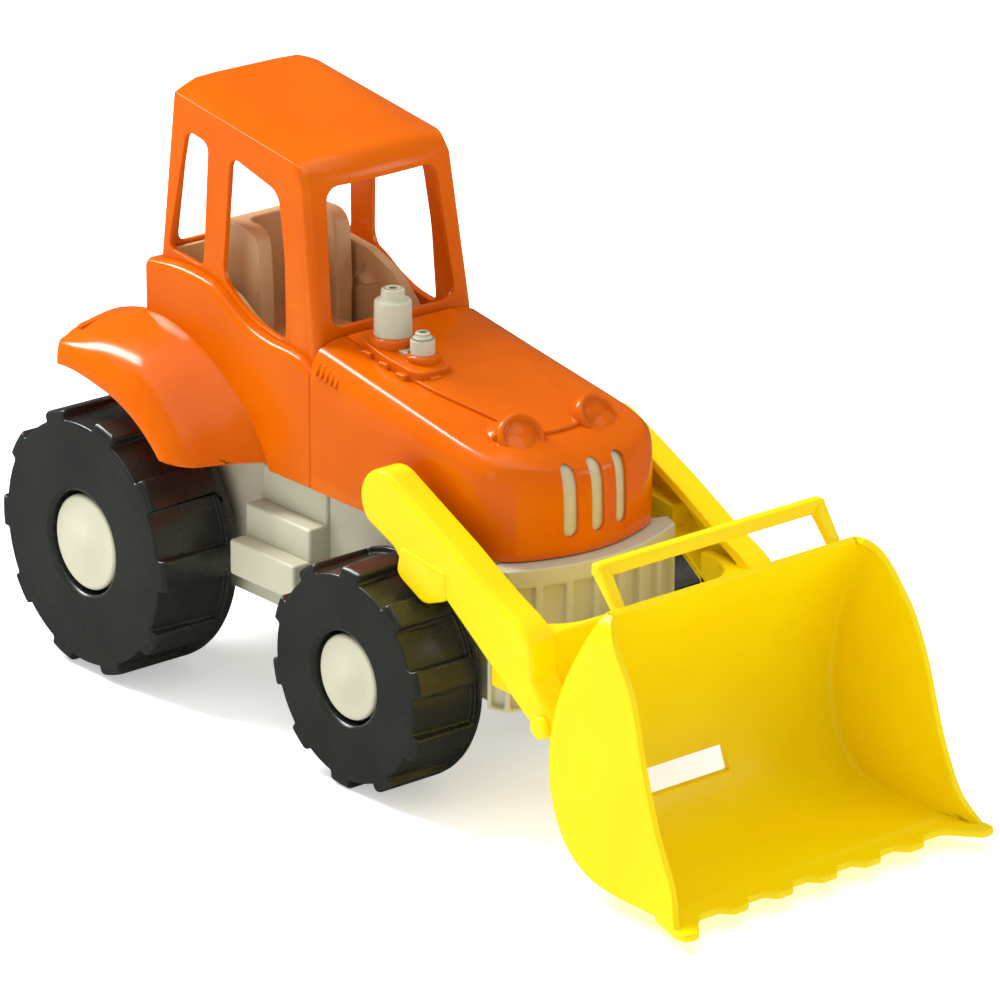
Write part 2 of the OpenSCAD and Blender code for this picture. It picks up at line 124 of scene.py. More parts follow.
def plain_floor(size):
    bm = bmesh.new()
    bmesh.ops.create_grid(bm, x_segments=1, y_segments=1, size=size)
    mesh = bpy.data.meshes.new("floor")
    bm.to_mesh(mesh)
    bm.free()
    floor = bpy.data.objects.new("floor", mesh)
    scene.collection.objects.link(floor)
    paper = bpy.data.materials.new("studio_paper")
    paper.use_nodes = True
    shader = paper.node_tree.nodes["Principled BSDF"]
    shader.inputs["Base Color"].default_value = (0.93, 0.93, 0.93, 1)
    shader.inputs["Roughness"].default_value = 0.9
    shader.inputs["Specular IOR Level"].default_value = 0.1
    shader.inputs["Emission Color"].default_value = (1, 1, 1, 1)
    shader.inputs["Emission Strength"].default_value = 0.45
    dim = paper.node_tree.nodes.new("ShaderNodeBsdfDiffuse")
    dim.inputs["Color"].default_value = (0.12, 0.12, 0.12, 1)
    darker_in_mirrors(paper.node_tree, shader.outputs["BSDF"], dim.outputs["BSDF"], "Material Output")
    mesh.materials.append(paper)
    floor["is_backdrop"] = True


def soft_panel(name, place, aim, size, power):
    light = bpy.data.lights.new(name, "AREA")
    light.shape = "RECTANGLE"
    light.size, light.size_y = size
    light.energy = power
    panel = bpy.data.objects.new(name, light)
    scene.collection.objects.link(panel)
    panel.location = place
    panel.rotation_mode = "QUATERNION"
    panel.rotation_quaternion = (Vector(aim) - Vector(place)).to_track_quat("-Z", "Y")


plain_floor(6.0)
soft_panel("overhead", (0.0, -0.1, 1.6), (0, 0, 0.1), (1.6, 1.6), 7.5)
soft_panel("strip", (-0.32, 0.95, 1.15), (0, 0, 0.12), (0.30, 0.95), 24)
soft_panel("front_left", (1.0, -1.15, 0.75), (0, 0, 0.1), (0.45, 0.5), 1.9)
soft_panel("front_right", (-1.8, -0.5, 0.55), (0, 0, 0.1), (0.5, 0.9), 1.3)

world = bpy.data.worlds.new("studio")
scene.world = world
world.use_nodes = True
sky = world.node_tree.nodes["Background"]
sky.inputs["Color"].default_value = (1, 1, 1, 1)
sky.inputs["Strength"].default_value = 0.54
dim_sky = world.node_tree.nodes.new("ShaderNodeBackground")
dim_sky.inputs["Strength"].default_value = 0.12
darker_in_mirrors(world.node_tree, sky.outputs["Background"], dim_sky.outputs["Background"], "World Output")

# %% [markdown]
# ## The moulded skin
# Injection-moulded plastic is never perfectly even. The steel mould leaves a very fine grain,
# the flowing plastic leaves faint broad clouds of colour, and the raised edges are paler, partly
# from handling scuffs and partly as a painted sheen.
# All plastics of the toy share these effects, so they are one node group that every material
# uses with its own values.

# %% Make the shared node groups


def group_with(name, inputs, outputs):
    group = bpy.data.node_groups.new(name, "ShaderNodeTree")
    for title, kind, default in inputs:
        socket = group.interface.new_socket(title, in_out="INPUT", socket_type=kind)
        socket.default_value = default
    for title, kind in outputs:
        group.interface.new_socket(title, in_out="OUTPUT", socket_type=kind)
    return group, group.nodes.new("NodeGroupInput"), group.nodes.new("NodeGroupOutput")


def noise(tree, coordinates, scale, detail=2.0):
    node = tree.nodes.new("ShaderNodeTexNoise")
    node.inputs["Scale"].default_value = scale
    node.inputs["Detail"].default_value = detail
    tree.links.new(coordinates, node.inputs["Vector"])
    return node.outputs["Fac"]


def spread(tree, value, low, high, to_low, to_high):
    node = tree.nodes.new("ShaderNodeMapRange")
    node.inputs["From Min"].default_value = low
    node.inputs["From Max"].default_value = high
    node.inputs["To Min"].default_value = to_low
    node.inputs["To Max"].default_value = to_high
    tree.links.new(value, node.inputs["Value"])
    return node.outputs["Result"]


def combine(tree, operation, a, b):
    node = tree.nodes.new("ShaderNodeMath")
    node.operation = operation
    tree.links.new(a, node.inputs[0])
    tree.links.new(b, node.inputs[1])
    return node.outputs[0]


def blend(tree, share, a, b):
    node = tree.nodes.new("ShaderNodeMix")
    node.data_type = "RGBA"
    tree.links.new(share, node.inputs["Factor"])
    tree.links.new(a, node.inputs["A"])
    tree.links.new(b, node.inputs["B"])
    return node.outputs["Result"]


def moulded_skin():
    """Clouds in the colour, fine grain, uneven gloss, and edges paled by scuffs and a painted sheen."""
    F, C, V = "NodeSocketFloat", "NodeSocketColor", "NodeSocketVector"
    group, given, made = group_with(
        "moulded_skin",
        [("Color", C, (1, 1, 1, 1)), ("Cloud Color", C, (1, 1, 1, 1)), ("Edge Color", C, (1, 1, 1, 1)),
         ("Roughness", F, 0.3), ("Grain", F, 0.1), ("Edge Wear And Sheen", F, 0.2)],
        [("Color", C), ("Roughness", F), ("Normal", V)])
    nodes, links = group.nodes, group.links
    place = nodes.new("ShaderNodeTexCoord").outputs["Object"]
    clouds = spread(group, noise(group, place, 28, 3), 0.35, 0.7, 0, 1)
    tinted = blend(group, clouds, given.outputs["Color"], given.outputs["Cloud Color"])
    # Raised edges turn paler: handling scuffs plus a painted sheen.
    edge = spread(group, nodes.new("ShaderNodeNewGeometry").outputs["Pointiness"], 0.53, 0.62, 0, 1)
    broken = combine(group, "MULTIPLY", edge, noise(group, place, 160, 4))
    worn_and_sheen = combine(group, "MULTIPLY", broken, given.outputs["Edge Wear And Sheen"])
    links.new(blend(group, worn_and_sheen, tinted, given.outputs["Edge Color"]), made.inputs["Color"])
    smear = spread(group, noise(group, place, 75, 3), 0.3, 0.75, -0.03, 0.05)
    links.new(combine(group, "ADD", given.outputs["Roughness"], smear), made.inputs["Roughness"])
    bump = nodes.new("ShaderNodeBump")
    bump.inputs["Distance"].default_value = 0.0001
    links.new(given.outputs["Grain"], bump.inputs["Strength"])
    links.new(noise(group, place, 2600, 2), bump.inputs["Height"])
    links.new(bump.outputs["Normal"], made.inputs["Normal"])
    return group


SKIN = moulded_skin()
print("groups:", [g.name for g in bpy.data.node_groups])

# %% [markdown]
# ## The finishes
# One function sets up a plastic: its own colour, a cloudier and an edge colour near it, and how
# rough, grainy and glossy it is, and how far its raised edges pale with handling scuffs and a
# painted sheen. The orange is the smoothest, the tyres are satin and the yellow and the cream are
# softer. The cab's inside is cream too, but it sits in orange light, so that orange light is
# painted into its colour as a warmer cream. The engineering nodes that still show get their paint here.

# %% Make the materials


def plastic(name, colour, cloud, edge, roughness, grain, wear_and_sheen, gloss):
    material = bpy.data.materials.new(name)
    material.use_nodes = True
    tree = material.node_tree
    shader = tree.nodes["Principled BSDF"]
    skin = tree.nodes.new("ShaderNodeGroup")
    skin.node_tree = SKIN
    for title, value in (("Color", (*colour, 1)), ("Cloud Color", (*cloud, 1)), ("Edge Color", (*edge, 1)),
                         ("Roughness", roughness), ("Grain", grain), ("Edge Wear And Sheen", wear_and_sheen)):
        skin.inputs[title].default_value = value
    for out, into in (("Color", "Base Color"), ("Roughness", "Roughness"), ("Normal", "Normal")):
        tree.links.new(skin.outputs[out], shader.inputs[into])
    shader.inputs["IOR"].default_value = 1.49
    shader.inputs["Specular IOR Level"].default_value = gloss
    return material


ORANGE = plastic("orange_plastic", (0.74, 0.132, 0.0), (0.68, 0.111, 0.0), (0.90, 0.26, 0.02),
                 0.16, 0.10, 0.35, 0.34)
YELLOW = plastic("yellow_plastic", (0.99, 0.76, 0.0), (0.98, 0.71, 0.0), (1.0, 0.90, 0.08),
                 0.33, 0.16, 0.3, 0.22)
CREAM = plastic("cream_plastic", (0.62, 0.605, 0.45), (0.57, 0.555, 0.41), (0.74, 0.72, 0.58),
                0.36, 0.16, 0.4, 0.35)
# The cab's inside: cream with the orange light of the cab painted into its colour.
CREAM_WITH_PAINTED_ORANGE_LIGHT = plastic("cream_with_painted_orange_light", (0.68, 0.48, 0.24), (0.60, 0.41, 0.19), (0.76, 0.59, 0.36),
              0.38, 0.16, 0.4, 0.3)
DARK = plastic("dark_plastic", (0.022, 0.025, 0.021), (0.016, 0.018, 0.015), (0.050, 0.056, 0.050),
               0.27, 0.25, 0.7, 0.6)


def plated_steel():
    material = bpy.data.materials.new("steel")
    material.use_nodes = True
    tree = material.node_tree
    shader = tree.nodes["Principled BSDF"]
    shader.inputs["Metallic"].default_value = 1.0
    place = tree.nodes.new("ShaderNodeTexCoord").outputs["Object"]
    ramp = tree.nodes.new("ShaderNodeValToRGB")
    ramp.color_ramp.elements[0].color = (0.42, 0.43, 0.45, 1)
    ramp.color_ramp.elements[1].color = (0.70, 0.70, 0.69, 1)
    tree.links.new(noise(tree, place, 220, 4), ramp.inputs["Fac"])
    tree.links.new(ramp.outputs["Color"], shader.inputs["Base Color"])
    tree.links.new(spread(tree, noise(tree, place, 500, 2), 0.3, 0.7, 0.22, 0.42), shader.inputs["Roughness"])
    return material


PAINTS = {"orange_plastic": ORANGE, "yellow_plastic": YELLOW, "cream_plastic": CREAM,
          "dark_plastic": DARK, "steel": plated_steel()}
for subpart in frame["record"]["subparts"]:
    node_mesh = frame["nodes"][subpart["node"]].data
    node_mesh.materials.clear()
    node_mesh.materials.append(PAINTS[subpart["material_slot"]])
print("materials:", [m.name for m in bpy.data.materials])

# %% [markdown]
# ## Helpers for the workbench
# A few small tools are used for every piece. A slab is an outline pushed straight out, a turned
# piece is a profile spun about an axis, thicken gives an open sheet its wall, and carve takes
# one solid out of another. The last helper finishes a piece: it rounds the edges with a bevel
# modifier, keeps large faces flat with weighted normals, and ties the piece to its body.

# %% Define the helpers


def arc(cx, cy, r, a0, a1, n=6):
    """Points of an arc about (cx, cy), with the angles in degrees."""
    angles = [math.radians(a0 + (a1 - a0) * i / n) for i in range(n + 1)]
    return [(cx + r * math.cos(a), cy + r * math.sin(a)) for a in angles]


def smooth_line(points, steps=6):
    """A smooth curve through the points, with that many steps from each to the next."""
    p = [Vector(q) for q in points]
    p = [2 * p[0] - p[1]] + p + [2 * p[-1] - p[-2]]
    line = []
    for i in range(1, len(p) - 2):
        for k in range(steps):
            t = k / steps
            a, b, c, d = p[i - 1], p[i], p[i + 1], p[i + 2]
            line.append(0.5 * (2 * b + (c - a) * t + (2 * a - 5 * b + 4 * c - d) * t * t
                               + (3 * b - a - 3 * c + d) * t ** 3))
    line.append(p[-2])
    return [tuple(q) for q in line]


def along(points, share):
    """The point at that share of the way along a line of points."""
    p = [Vector(q) for q in points]
    lengths = [(b - a).length for a, b in zip(p, p[1:])]
    left = share * sum(lengths)
    for a, b, length in zip(p, p[1:], lengths):
        if left <= length:
            return a.lerp(b, left / length if length else 0)
        left -= length
    return p[-1]


def ease(x, low, high):
    """0 below low, 1 above high, and smooth between."""
    t = min(max((x - low) / (high - low), 0), 1)
    return t * t * (3 - 2 * t)


def move(bm, offset, verts=None):
    bmesh.ops.translate(bm, vec=offset, verts=verts or bm.verts)


def spun(bm, degrees, axis, centre=(0, 0, 0)):
    bmesh.ops.rotate(bm, cent=centre, matrix=Matrix.Rotation(math.radians(degrees), 3, axis), verts=bm.verts)


def round_edges(bm, edges, width, segments, clamp=True):
    bmesh.ops.bevel(bm, geom=edges, offset=width, offset_type="OFFSET", affect="EDGES", segments=segments,
                    profile=0.5, material=-1, clamp_overlap=clamp)


def beyond(bm, axis, limit):
    """Edges that lie wholly beyond a limit along an axis."""
    return [e for e in bm.edges if min(getattr(v.co, axis) for v in e.verts) > limit]


def in_profile(edges):
    """The edges among these that run along a side outline, not across it."""
    return [e for e in edges if abs(e.verts[0].co.x - e.verts[1].co.x) < 0.1]


def new_verts(made):
    return [v for v in made["geom"] if isinstance(v, bmesh.types.BMVert)]


def thicken(bm, outward, wall):
    """Turns an open sheet's faces outward and gives it a wall on the inside."""
    bmesh.ops.recalc_face_normals(bm, faces=bm.faces)
    if sum(f.normal.dot(outward) * f.calc_area() for f in bm.faces) < 0:
        bmesh.ops.reverse_faces(bm, faces=bm.faces)
    bmesh.ops.solidify(bm, geom=bm.faces[:], thickness=wall)
    return bm


def slab(outline, start, end, axis="X", corner=0.0):
    """A solid with that outline, pushed out from start to end along an axis."""
    bm = bmesh.new()
    put = {"X": lambda u, v: (start, u, v), "Y": lambda u, v: (u, start, v),
           "Z": lambda u, v: (u, v, start)}[axis]
    bm.faces.new([bm.verts.new(put(u, v)) for u, v in outline])
    if corner:
        bmesh.ops.bevel(bm, geom=bm.verts[:], offset=corner, offset_type="OFFSET", affect="VERTICES",
                        segments=4, profile=0.5, material=-1)
    pushed = bmesh.ops.extrude_face_region(bm, geom=bm.faces[:])
    step = {"X": (1, 0, 0), "Y": (0, 1, 0), "Z": (0, 0, 1)}[axis]
    move(bm, Vector(step) * (end - start), new_verts(pushed))
    bmesh.ops.recalc_face_normals(bm, faces=bm.faces)
    return bm


def block(low, high):
    """A box between two corners."""
    (x0, y0, z0), (x1, y1, z1) = low, high
    return slab([(y0, z0), (y1, z0), (y1, z1), (y0, z1)], x0, x1)


def turned(profile, steps, centre=(0, 0, 0), axis="X", closed=True):
    """A profile of (distance along the axis, radius), spun about the axis through the centre."""
    bm = bmesh.new()
    put = {"X": lambda u, r: (u, 0, r), "Z": lambda u, r: (r, 0, u)}[axis]
    verts = [bm.verts.new(put(u, r)) for u, r in profile]
    ends = verts[1:] + ([verts[0]] if closed else [])
    edges = [bm.edges.new(pair) for pair in zip(verts, ends)]
    spin_axis = {"X": (1, 0, 0), "Z": (0, 0, 1)}[axis]
    bmesh.ops.spin(bm, geom=verts + edges, cent=(0, 0, 0), axis=spin_axis, angle=2 * math.pi,
                   steps=steps, use_merge=True)
    bmesh.ops.remove_doubles(bm, verts=bm.verts, dist=0.0005)
    bmesh.ops.translate(bm, vec=centre, verts=bm.verts)
    bmesh.ops.recalc_face_normals(bm, faces=bm.faces)
    return bm


def carve(solid, tool):
    """Takes the tool out of the solid and returns the result as a new bmesh."""
    pair = []
    for bm in (solid, tool):
        mesh = bpy.data.meshes.new("carve")
        bm.to_mesh(mesh)
        bm.free()
        pair.append(bpy.data.objects.new("carve", mesh))
        scene.collection.objects.link(pair[-1])
    cut = pair[0].modifiers.new("carve", "BOOLEAN")
    cut.operation = "DIFFERENCE"
    cut.solver = "EXACT"
    cut.object = pair[1]
    result = bmesh.new()
    result.from_object(pair[0], bpy.context.evaluated_depsgraph_get())
    for obj in pair:
        bpy.data.objects.remove(obj)
    return result


def joined(*parts):
    """Puts several separate bmeshes into one, without cutting them."""
    mesh = bpy.data.meshes.new("joined")
    result = bmesh.new()
    for bm in parts:
        bm.to_mesh(mesh)
        bm.free()
        result.from_mesh(mesh)
    bpy.data.meshes.remove(mesh)
    return result


def mirror(bm):
    """Flips a bmesh across the middle plane."""
    bmesh.ops.scale(bm, vec=(-1, 1, 1), verts=bm.verts)
    bmesh.ops.reverse_faces(bm, faces=bm.faces)
    return bm


def both_sides(bm):
    """The bmesh and its mirror image."""
    return joined(mirror(bm.copy()), bm)


def finish(bm, name, body, slot_name, nodes=(), bevel=0.0, segments=3, angle=32, paint=None):
    """Turns a bmesh in millimetres into a finished piece of the toy."""
    bmesh.ops.remove_doubles(bm, verts=bm.verts, dist=0.002)
    bmesh.ops.scale(bm, vec=(MM, MM, MM), verts=bm.verts)
    for face in bm.faces:
        face.smooth = True
    mesh = bpy.data.meshes.new(name)
    bm.to_mesh(mesh)
    bm.free()
    mesh.materials.append(paint or PAINTS[slot_name])
    piece = bpy.data.objects.new(name, mesh)
    scene.collection.objects.link(piece)
    if bevel:
        rounded = piece.modifiers.new("rounded", "BEVEL")
        rounded.width = bevel * MM
        rounded.segments = segments
        rounded.limit_method = "ANGLE"
        rounded.angle_limit = math.radians(angle)
        rounded.use_clamp_overlap = False
        rounded.miter_outer = "MITER_ARC"
        flat = piece.modifiers.new("flat", "WEIGHTED_NORMAL")
        flat.keep_sharp = True
    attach(piece, body)
    if nodes:
        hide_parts(*nodes)
    print(f"{name}: {len(mesh.polygons)} faces on {body}")


# %% [markdown]
# ## Tyres
# The tyres are hollow plastic mouldings. Each has a flat outer face, a deep recess for the
# hubcap, and ten wide lugs with pockets between them. The pockets run out through the outer
# shoulder but stop at a smooth band on the inner side. The profile is spun into a smooth wheel
# first. Ten curved wedges then cut the pockets, as a mould maker's cutter would. They sink a
# little deeper at the outer face, so the lugs show there as teeth.

# %% Make the tyres
LUGS = 10
LUG_HEIGHT = 2.4
TURN_STEPS = 120
FACE_NOTCH = 1.6            # how much deeper the pockets are at the outer face
RECESS_DEPTH = 9.0


def pockets(radius, width, lug_angle):
    """Ten curved wedges that cut the pockets between the lugs, deeper at the outer face."""
    pitch = 360 / LUGS
    half = pitch * 11 / 36
    floor, band = radius - LUG_HEIGHT, 0.2 * width
    tools = []
    for i in range(LUGS):
        middle = lug_angle + pitch * (i + 0.5)
        inner = arc(0, 0, floor, middle - half, middle + half, 7)
        outer = arc(0, 0, radius + 4, middle + half, middle - half, 2)
        wedge = slab(inner + outer, band, width + 4)
        for v in wedge.verts:
            reach = math.hypot(v.co.y, v.co.z)
            if v.co.x > width and reach < radius:
                sink = (reach - FACE_NOTCH) / reach
                v.co.y, v.co.z = v.co.y * sink, v.co.z * sink
        tools.append(wedge)
    return joined(*tools)


def tyre(radius, width, recess, lug_angle):
    """A tyre with its inner face at x = 0 and its axis along X through the origin."""
    corner = 2.4
    floor = width - RECESS_DEPTH
    profile = [(0, 9), *arc(6, radius - 6, 6, 180, 90, 6),
               *arc(width - corner, radius - corner, corner, 90, 0, 5), (width, recess + 1.6),
               (width - 0.45, recess + 0.5), (width - 1.5, recess), (floor, recess), (floor, 9)]
    return carve(turned(profile, TURN_STEPS), pockets(radius, width, lug_angle))


def hubcap(width, radius):
    """A pressed-in cap with a softly rounded rim and a faint ring left by the mould."""
    top = width - 1.6
    profile = [(top, 0), (top + 0.25, 2.4), (top + 0.05, 2.9), (top + 0.2, radius * 0.55),
               (top + 0.02, radius * 0.58), (top, radius - 2.2), *arc(top - 1.3, radius - 1.3, 1.3, 0, 90, 5),
               (top - 3.2, radius), (top - 3.2, 0)]
    return turned(profile, 72, closed=False)


def wheel(side, axle):
    """Puts a tyre and its hubcap where the engineering model has them."""
    low, high = node_box(f"{axle}_tyre_{side}")
    cap_low, cap_high = node_box(f"{axle}_hubcap_{side}")
    radius, width = (high.z - low.z) / 2, high.x - low.x
    start = low.x if side == "left" else high.x
    recess, lug_angle = {"rear": (20.0, -1.0), "front": (17.4, -13.5)}[axle]
    pieces = {"tyre": (tyre(radius, width, recess, lug_angle), "dark_plastic", 0.9),
              "hubcap": (hubcap(width, (cap_high.z - cap_low.z) / 2), "cream_plastic", 0.0)}
    for kind, (bm, slot_name, rounded) in pieces.items():
        if side == "right":
            mirror(bm)
        move(bm, (start, (low.y + high.y) / 2, (low.z + high.z) / 2))
        node = f"{axle}_{kind}_{side}"
        finish(bm, node + "_skin", f"{axle}_wheel_{side}", slot_name, [node], bevel=rounded, angle=40)


for axle_name in ("rear", "front"):
    for side_name in ("left", "right"):
        wheel(side_name, axle_name)

# %% [markdown]
# ## The hood
# The hood is one deep shell: upright sides, a broad round shoulder, a flat raised panel down the
# middle and a bluff nose. It could be boxed from flat plates, but its shoulder catches the
# longest highlight on the toy, so it has to be one continuous surface. A grid is laid over a
# formula instead: one direction runs round the hood from rear corner to rear corner, and the
# other climbs from the lower edge to the ridge.

# %% Shape the hood
hood_low, hood_high = node_box("hood_shell")
SEAM_Y = hood_high.y
HOOD_HALF = hood_high.x
NOSE_Y = hood_low.y
HOOD_FOOT = hood_low.z
HOOD_TOP = hood_high.z
CREASE_Y, CREASE_Z = -43.5, 131.2       # where the raised panel ends, over the grille
RIDGE_Y = -14.0                         # where the ridge line ends and the nose begins
PANEL_RISE = 1.3                        # how far the flat middle panel stands up
WALL = 2.2


def hood_ridge(y):
    """Height of the hood's middle line."""
    slope = (HOOD_TOP - CREASE_Z) / (SEAM_Y - CREASE_Y)
    if y > CREASE_Y:
        return CREASE_Z + (y - CREASE_Y) * slope
    t = (CREASE_Y - y) / (CREASE_Y - NOSE_Y)
    return CREASE_Z - 3.5 * t - 5.5 * t * t


def hood_plan(t):
    """Outline of the hood seen from above, from the right rear corner (0) to the left (1)."""
    side, nose = -HOOD_HALF, NOSE_Y
    points = [(side, SEAM_Y), (side, 20), (side, -10), (side, -30), (side + 0.5, -40), (side + 2.2, -47.5),
              (side + 6, -53.4), (side + 11.5, nose + 7.0), (-20, nose + 3.5), (-10, nose + 0.9), (0, nose)]
    points = smooth_line(points, 5)
    whole = points + [(-x, y) for x, y in reversed(points[:-1])]
    return along(whole, t)


PLAN_STEPS, RISE_STEPS = 120, 40
plan_points = [hood_plan(i / PLAN_STEPS) for i in range(PLAN_STEPS + 1)]
SIDE_RISE = [(0, 0), (0, 0.35), (0, 0.6), (0.003, 0.74), (0.02, 0.83), (0.05, 0.878), (0.09, 0.92),
             (0.15, 0.96), (0.22, 0.987), (0.33, 1), (0.6, 1), (1, 1)]
NOSE_RISE = [(0, 0), (0, 0.35), (0.002, 0.6), (0.01, 0.76), (0.022, 0.87), (0.04, 0.925), (0.065, 0.962),
             (0.1, 0.984), (0.16, 0.996), (0.3, 1), (0.6, 1), (1, 1)]


def hood_rise(frontal, share):
    """How far in and how far up the surface is: a round shoulder at the sides, a bluff nose."""
    mixed = [Vector(a).lerp(Vector(b), frontal) for a, b in zip(SIDE_RISE, NOSE_RISE)]
    return along(smooth_line(mixed, 4), share)


frontal_of = [ease(-p.y, 44, 60) for p in plan_points]
rise_tables = {}
for share_of_nose in sorted(set(round(f, 2) for f in frontal_of)):
    rise_tables[share_of_nose] = [hood_rise(share_of_nose, (k / RISE_STEPS) ** 0.92)
                                  for k in range(RISE_STEPS + 1)]


def hood_point(i, k):
    """The point of the hood at step i round its plan and step k up its rise."""
    outer = plan_points[i]
    share = rise_tables[round(frontal_of[i], 2)][k]
    spine = Vector((0, max(outer.y, RIDGE_Y)))
    flat = outer.lerp(spine, share.x)
    z = HOOD_FOOT + (hood_ridge(flat.y) - HOOD_FOOT) * share.y
    return Vector((flat.x, flat.y, z - PANEL_RISE * ease(share.y, 0.93, 0.985)))


def hood_skin():
    bm = bmesh.new()
    bmesh.ops.create_grid(bm, x_segments=PLAN_STEPS, y_segments=RISE_STEPS, size=1)
    for v in bm.verts:
        v.co = hood_point(round((v.co.x + 1) / 2 * PLAN_STEPS), round((v.co.y + 1) / 2 * RISE_STEPS))
    bmesh.ops.remove_doubles(bm, verts=bm.verts, dist=0.02)
    bmesh.ops.dissolve_degenerate(bm, edges=bm.edges, dist=0.01)
    return thicken(bm, Vector((0, 0, 1)), WALL)


SLOT_X = (-11.7, 0.0, 11.7)
SLOT_HALF = 2.9
SLOT_LOW, SLOT_HIGH = 98.2, 124.2


def slot_tool():
    tools = []
    for x in SLOT_X:
        top = arc(x, SLOT_HIGH - SLOT_HALF, SLOT_HALF, 0, 180, 8)
        foot = arc(x, SLOT_LOW + SLOT_HALF, SLOT_HALF, 180, 360, 8)
        tools.append(slab(top + foot, NOSE_Y - 8, NOSE_Y + 14, "Y"))
    return joined(*tools)


def raised_panel():
    """The flat panel down the middle of the hood, with a crisp edge all round."""
    bm = bmesh.new()
    bmesh.ops.create_grid(bm, x_segments=16, y_segments=24, size=1)
    for v in bm.verts:
        t = (v.co.y + 1) / 2
        across = v.co.x
        y = CREASE_Y - 0.8 + 2.2 * across * across * (1 - t) + (SEAM_Y - 0.6 - CREASE_Y) * t
        v.co = Vector((across * (15.5 + 9.0 * ease(t, 0, 0.6)), y, hood_ridge(y)))
    lower = bmesh.ops.extrude_face_region(bm, geom=bm.faces[:])
    move(bm, (0, 0, -2.0), new_verts(lower))
    bmesh.ops.recalc_face_normals(bm, faces=bm.faces)
    return bm


hood_bm = hood_skin()
hood_bm = carve(hood_bm, slot_tool())
finish(raised_panel(), "hood_panel", "tractor", "orange_plastic", ["hood_shell"], bevel=0.6)
finish(hood_bm, "hood", "tractor", "orange_plastic", ["hood_shell"], bevel=0.12, segments=1, angle=60)

# %% [markdown]
# ## Details on the hood
# Round headlights sit in raised pods on the shoulder of the nose, a crease runs between them,
# louvres are moulded into the rear shoulders, and two collars hold the exhaust. On the real toy
# they are part of the hood. Here they are small separate forms sunk a little into it.

# %% Add headlights, louvres and collars


LAMP_X, LAMP_Y, LAMP_Z = 17.5, -39.5, 131.6


def lamp(x):
    """A headlight: a short barrel with a rounded back, a ring and a domed lens."""
    profile = [(-9, 0), (-8.6, 3.6), (-7, 6.0), (-4.5, 7.3), (-1.5, 7.6), (0.6, 7.4), (1.3, 6.9), (1.5, 6.2),
               (1.0, 5.7), (0.1, 5.2), (0.5, 4.2), (1.3, 2.4), (1.6, 0)]
    bm = turned(profile, 48, axis="Z", closed=False)
    bmesh.ops.scale(bm, vec=(1.22, 1.22, 1.1), verts=bm.verts)
    spun(bm, 52, "X")
    spun(bm, 10 if x > 0 else -10, "Z")
    move(bm, (x, LAMP_Y - 3.0, LAMP_Z - 0.6))
    return bm


def brow(x):
    """The soft mound that the headlight grows out of."""
    bm = bmesh.new()
    bmesh.ops.create_uvsphere(bm, u_segments=40, v_segments=20, radius=1)
    bmesh.ops.scale(bm, vec=(9.4, 12.5, 7.0), verts=bm.verts)
    spun(bm, 18, "X")
    move(bm, (x * 1.06, LAMP_Y + 1.0, LAMP_Z - 5.0))
    return bm


def lamp_ear(x):
    """A small pin boss beside the headlight."""
    return turned([(-1.0, 0), (-1.0, 1.5), (2.4, 1.4), (2.8, 0.9), (2.8, 0)], 20,
                  centre=(x * 1.06 + math.copysign(7.0, x), LAMP_Y + 1.5, LAMP_Z - 1.2), axis="Z", closed=False)


def collar(x, y, radius, low, high):
    profile = [(low, 0), (low, radius), (high - 1.2, radius - 0.2), (high - 0.35, radius - 0.6),
               (high, radius - 1.4), (high, 0)]
    return turned(profile, 40, centre=(x, y, 0), axis="Z", closed=False)


def louvre(i):
    """One small slat across the round shoulder."""
    half, reach = 0.55, 2.6
    bm = slab([(-half, -reach), (half, -reach), (half, reach), (-half, reach)], 0, 1.0, "Z", corner=0.3)
    spun(bm, 90, "Z")
    spun(bm, 58, "Y")
    move(bm, (39.0, 44.0 - 2.7 * i, 137.6 - 0.5 * i))
    return bm


BIG_STACK, SMALL_STACK = (-15.5, 31.0), (-14.5, 15.5)
lamps = joined(*[part(x) for x in (-LAMP_X, LAMP_X) for part in (brow, lamp, lamp_ear)])
louvres = both_sides(joined(*[louvre(i) for i in range(5)]))
finish(lamps, "headlights", "tractor", "orange_plastic")
finish(louvres, "hood_louvres", "tractor", "orange_plastic", bevel=0.25, segments=2)
plinth_plan = [(-24.5, 6), (-7.5, 6), (-5.5, 24), (-6.5, 41), (-24.5, 41), (-26.5, 24)]
plinth = slab(plinth_plan, 130, 143.4, "Z", corner=4)
for v in plinth.verts:
    if v.co.z > 140:
        v.co.z = hood_ridge(v.co.y) + 2.6
tabs = [block((-27.4, y, 134), (-22, y + 5.0, hood_ridge(y) + 1.0)) for y in (10.5, 20.0, 29.5)]
tabs.append(block((-19.5, 4.4, 134), (-14.3, 8, hood_ridge(5) + 0.8)))
collars = [collar(*BIG_STACK, 9.2, 138, 149.6), collar(*SMALL_STACK, 6.6, 134, 146.4)]
finish(joined(*collars, plinth, *tabs), "exhaust_collars", "tractor", "orange_plastic", bevel=0.7)

# %% [markdown]
# ## The exhaust stacks
# Two turned stacks in cream plastic stand on the collars, joined by a low bridge. A spun profile
# with small shoulders and a dimple in the top gives them their shape.

# %% Make the exhaust


def stack(x, y, radius, low, high, neck, tip):
    """A stack from low to its shoulder, with a narrower neck up to a dimpled tip."""
    profile = [(low, 0), (low, radius + 0.3), (high - 0.9, radius), (high - 0.25, radius - 0.3),
               (high, radius - 0.9), (high, neck + 0.9), (high + 0.3, neck + 0.3), (high + 1.0, neck),
               (tip - 0.6, neck - 0.2), (tip - 0.15, neck - 0.5), (tip, neck - 1.0),
               (tip, 1.5), (tip - 0.3, 1.2), (tip - 2.0, 1.0), (tip - 2.0, 0)]
    return turned(profile, 48, centre=(x, y, 0), axis="Z", closed=False)


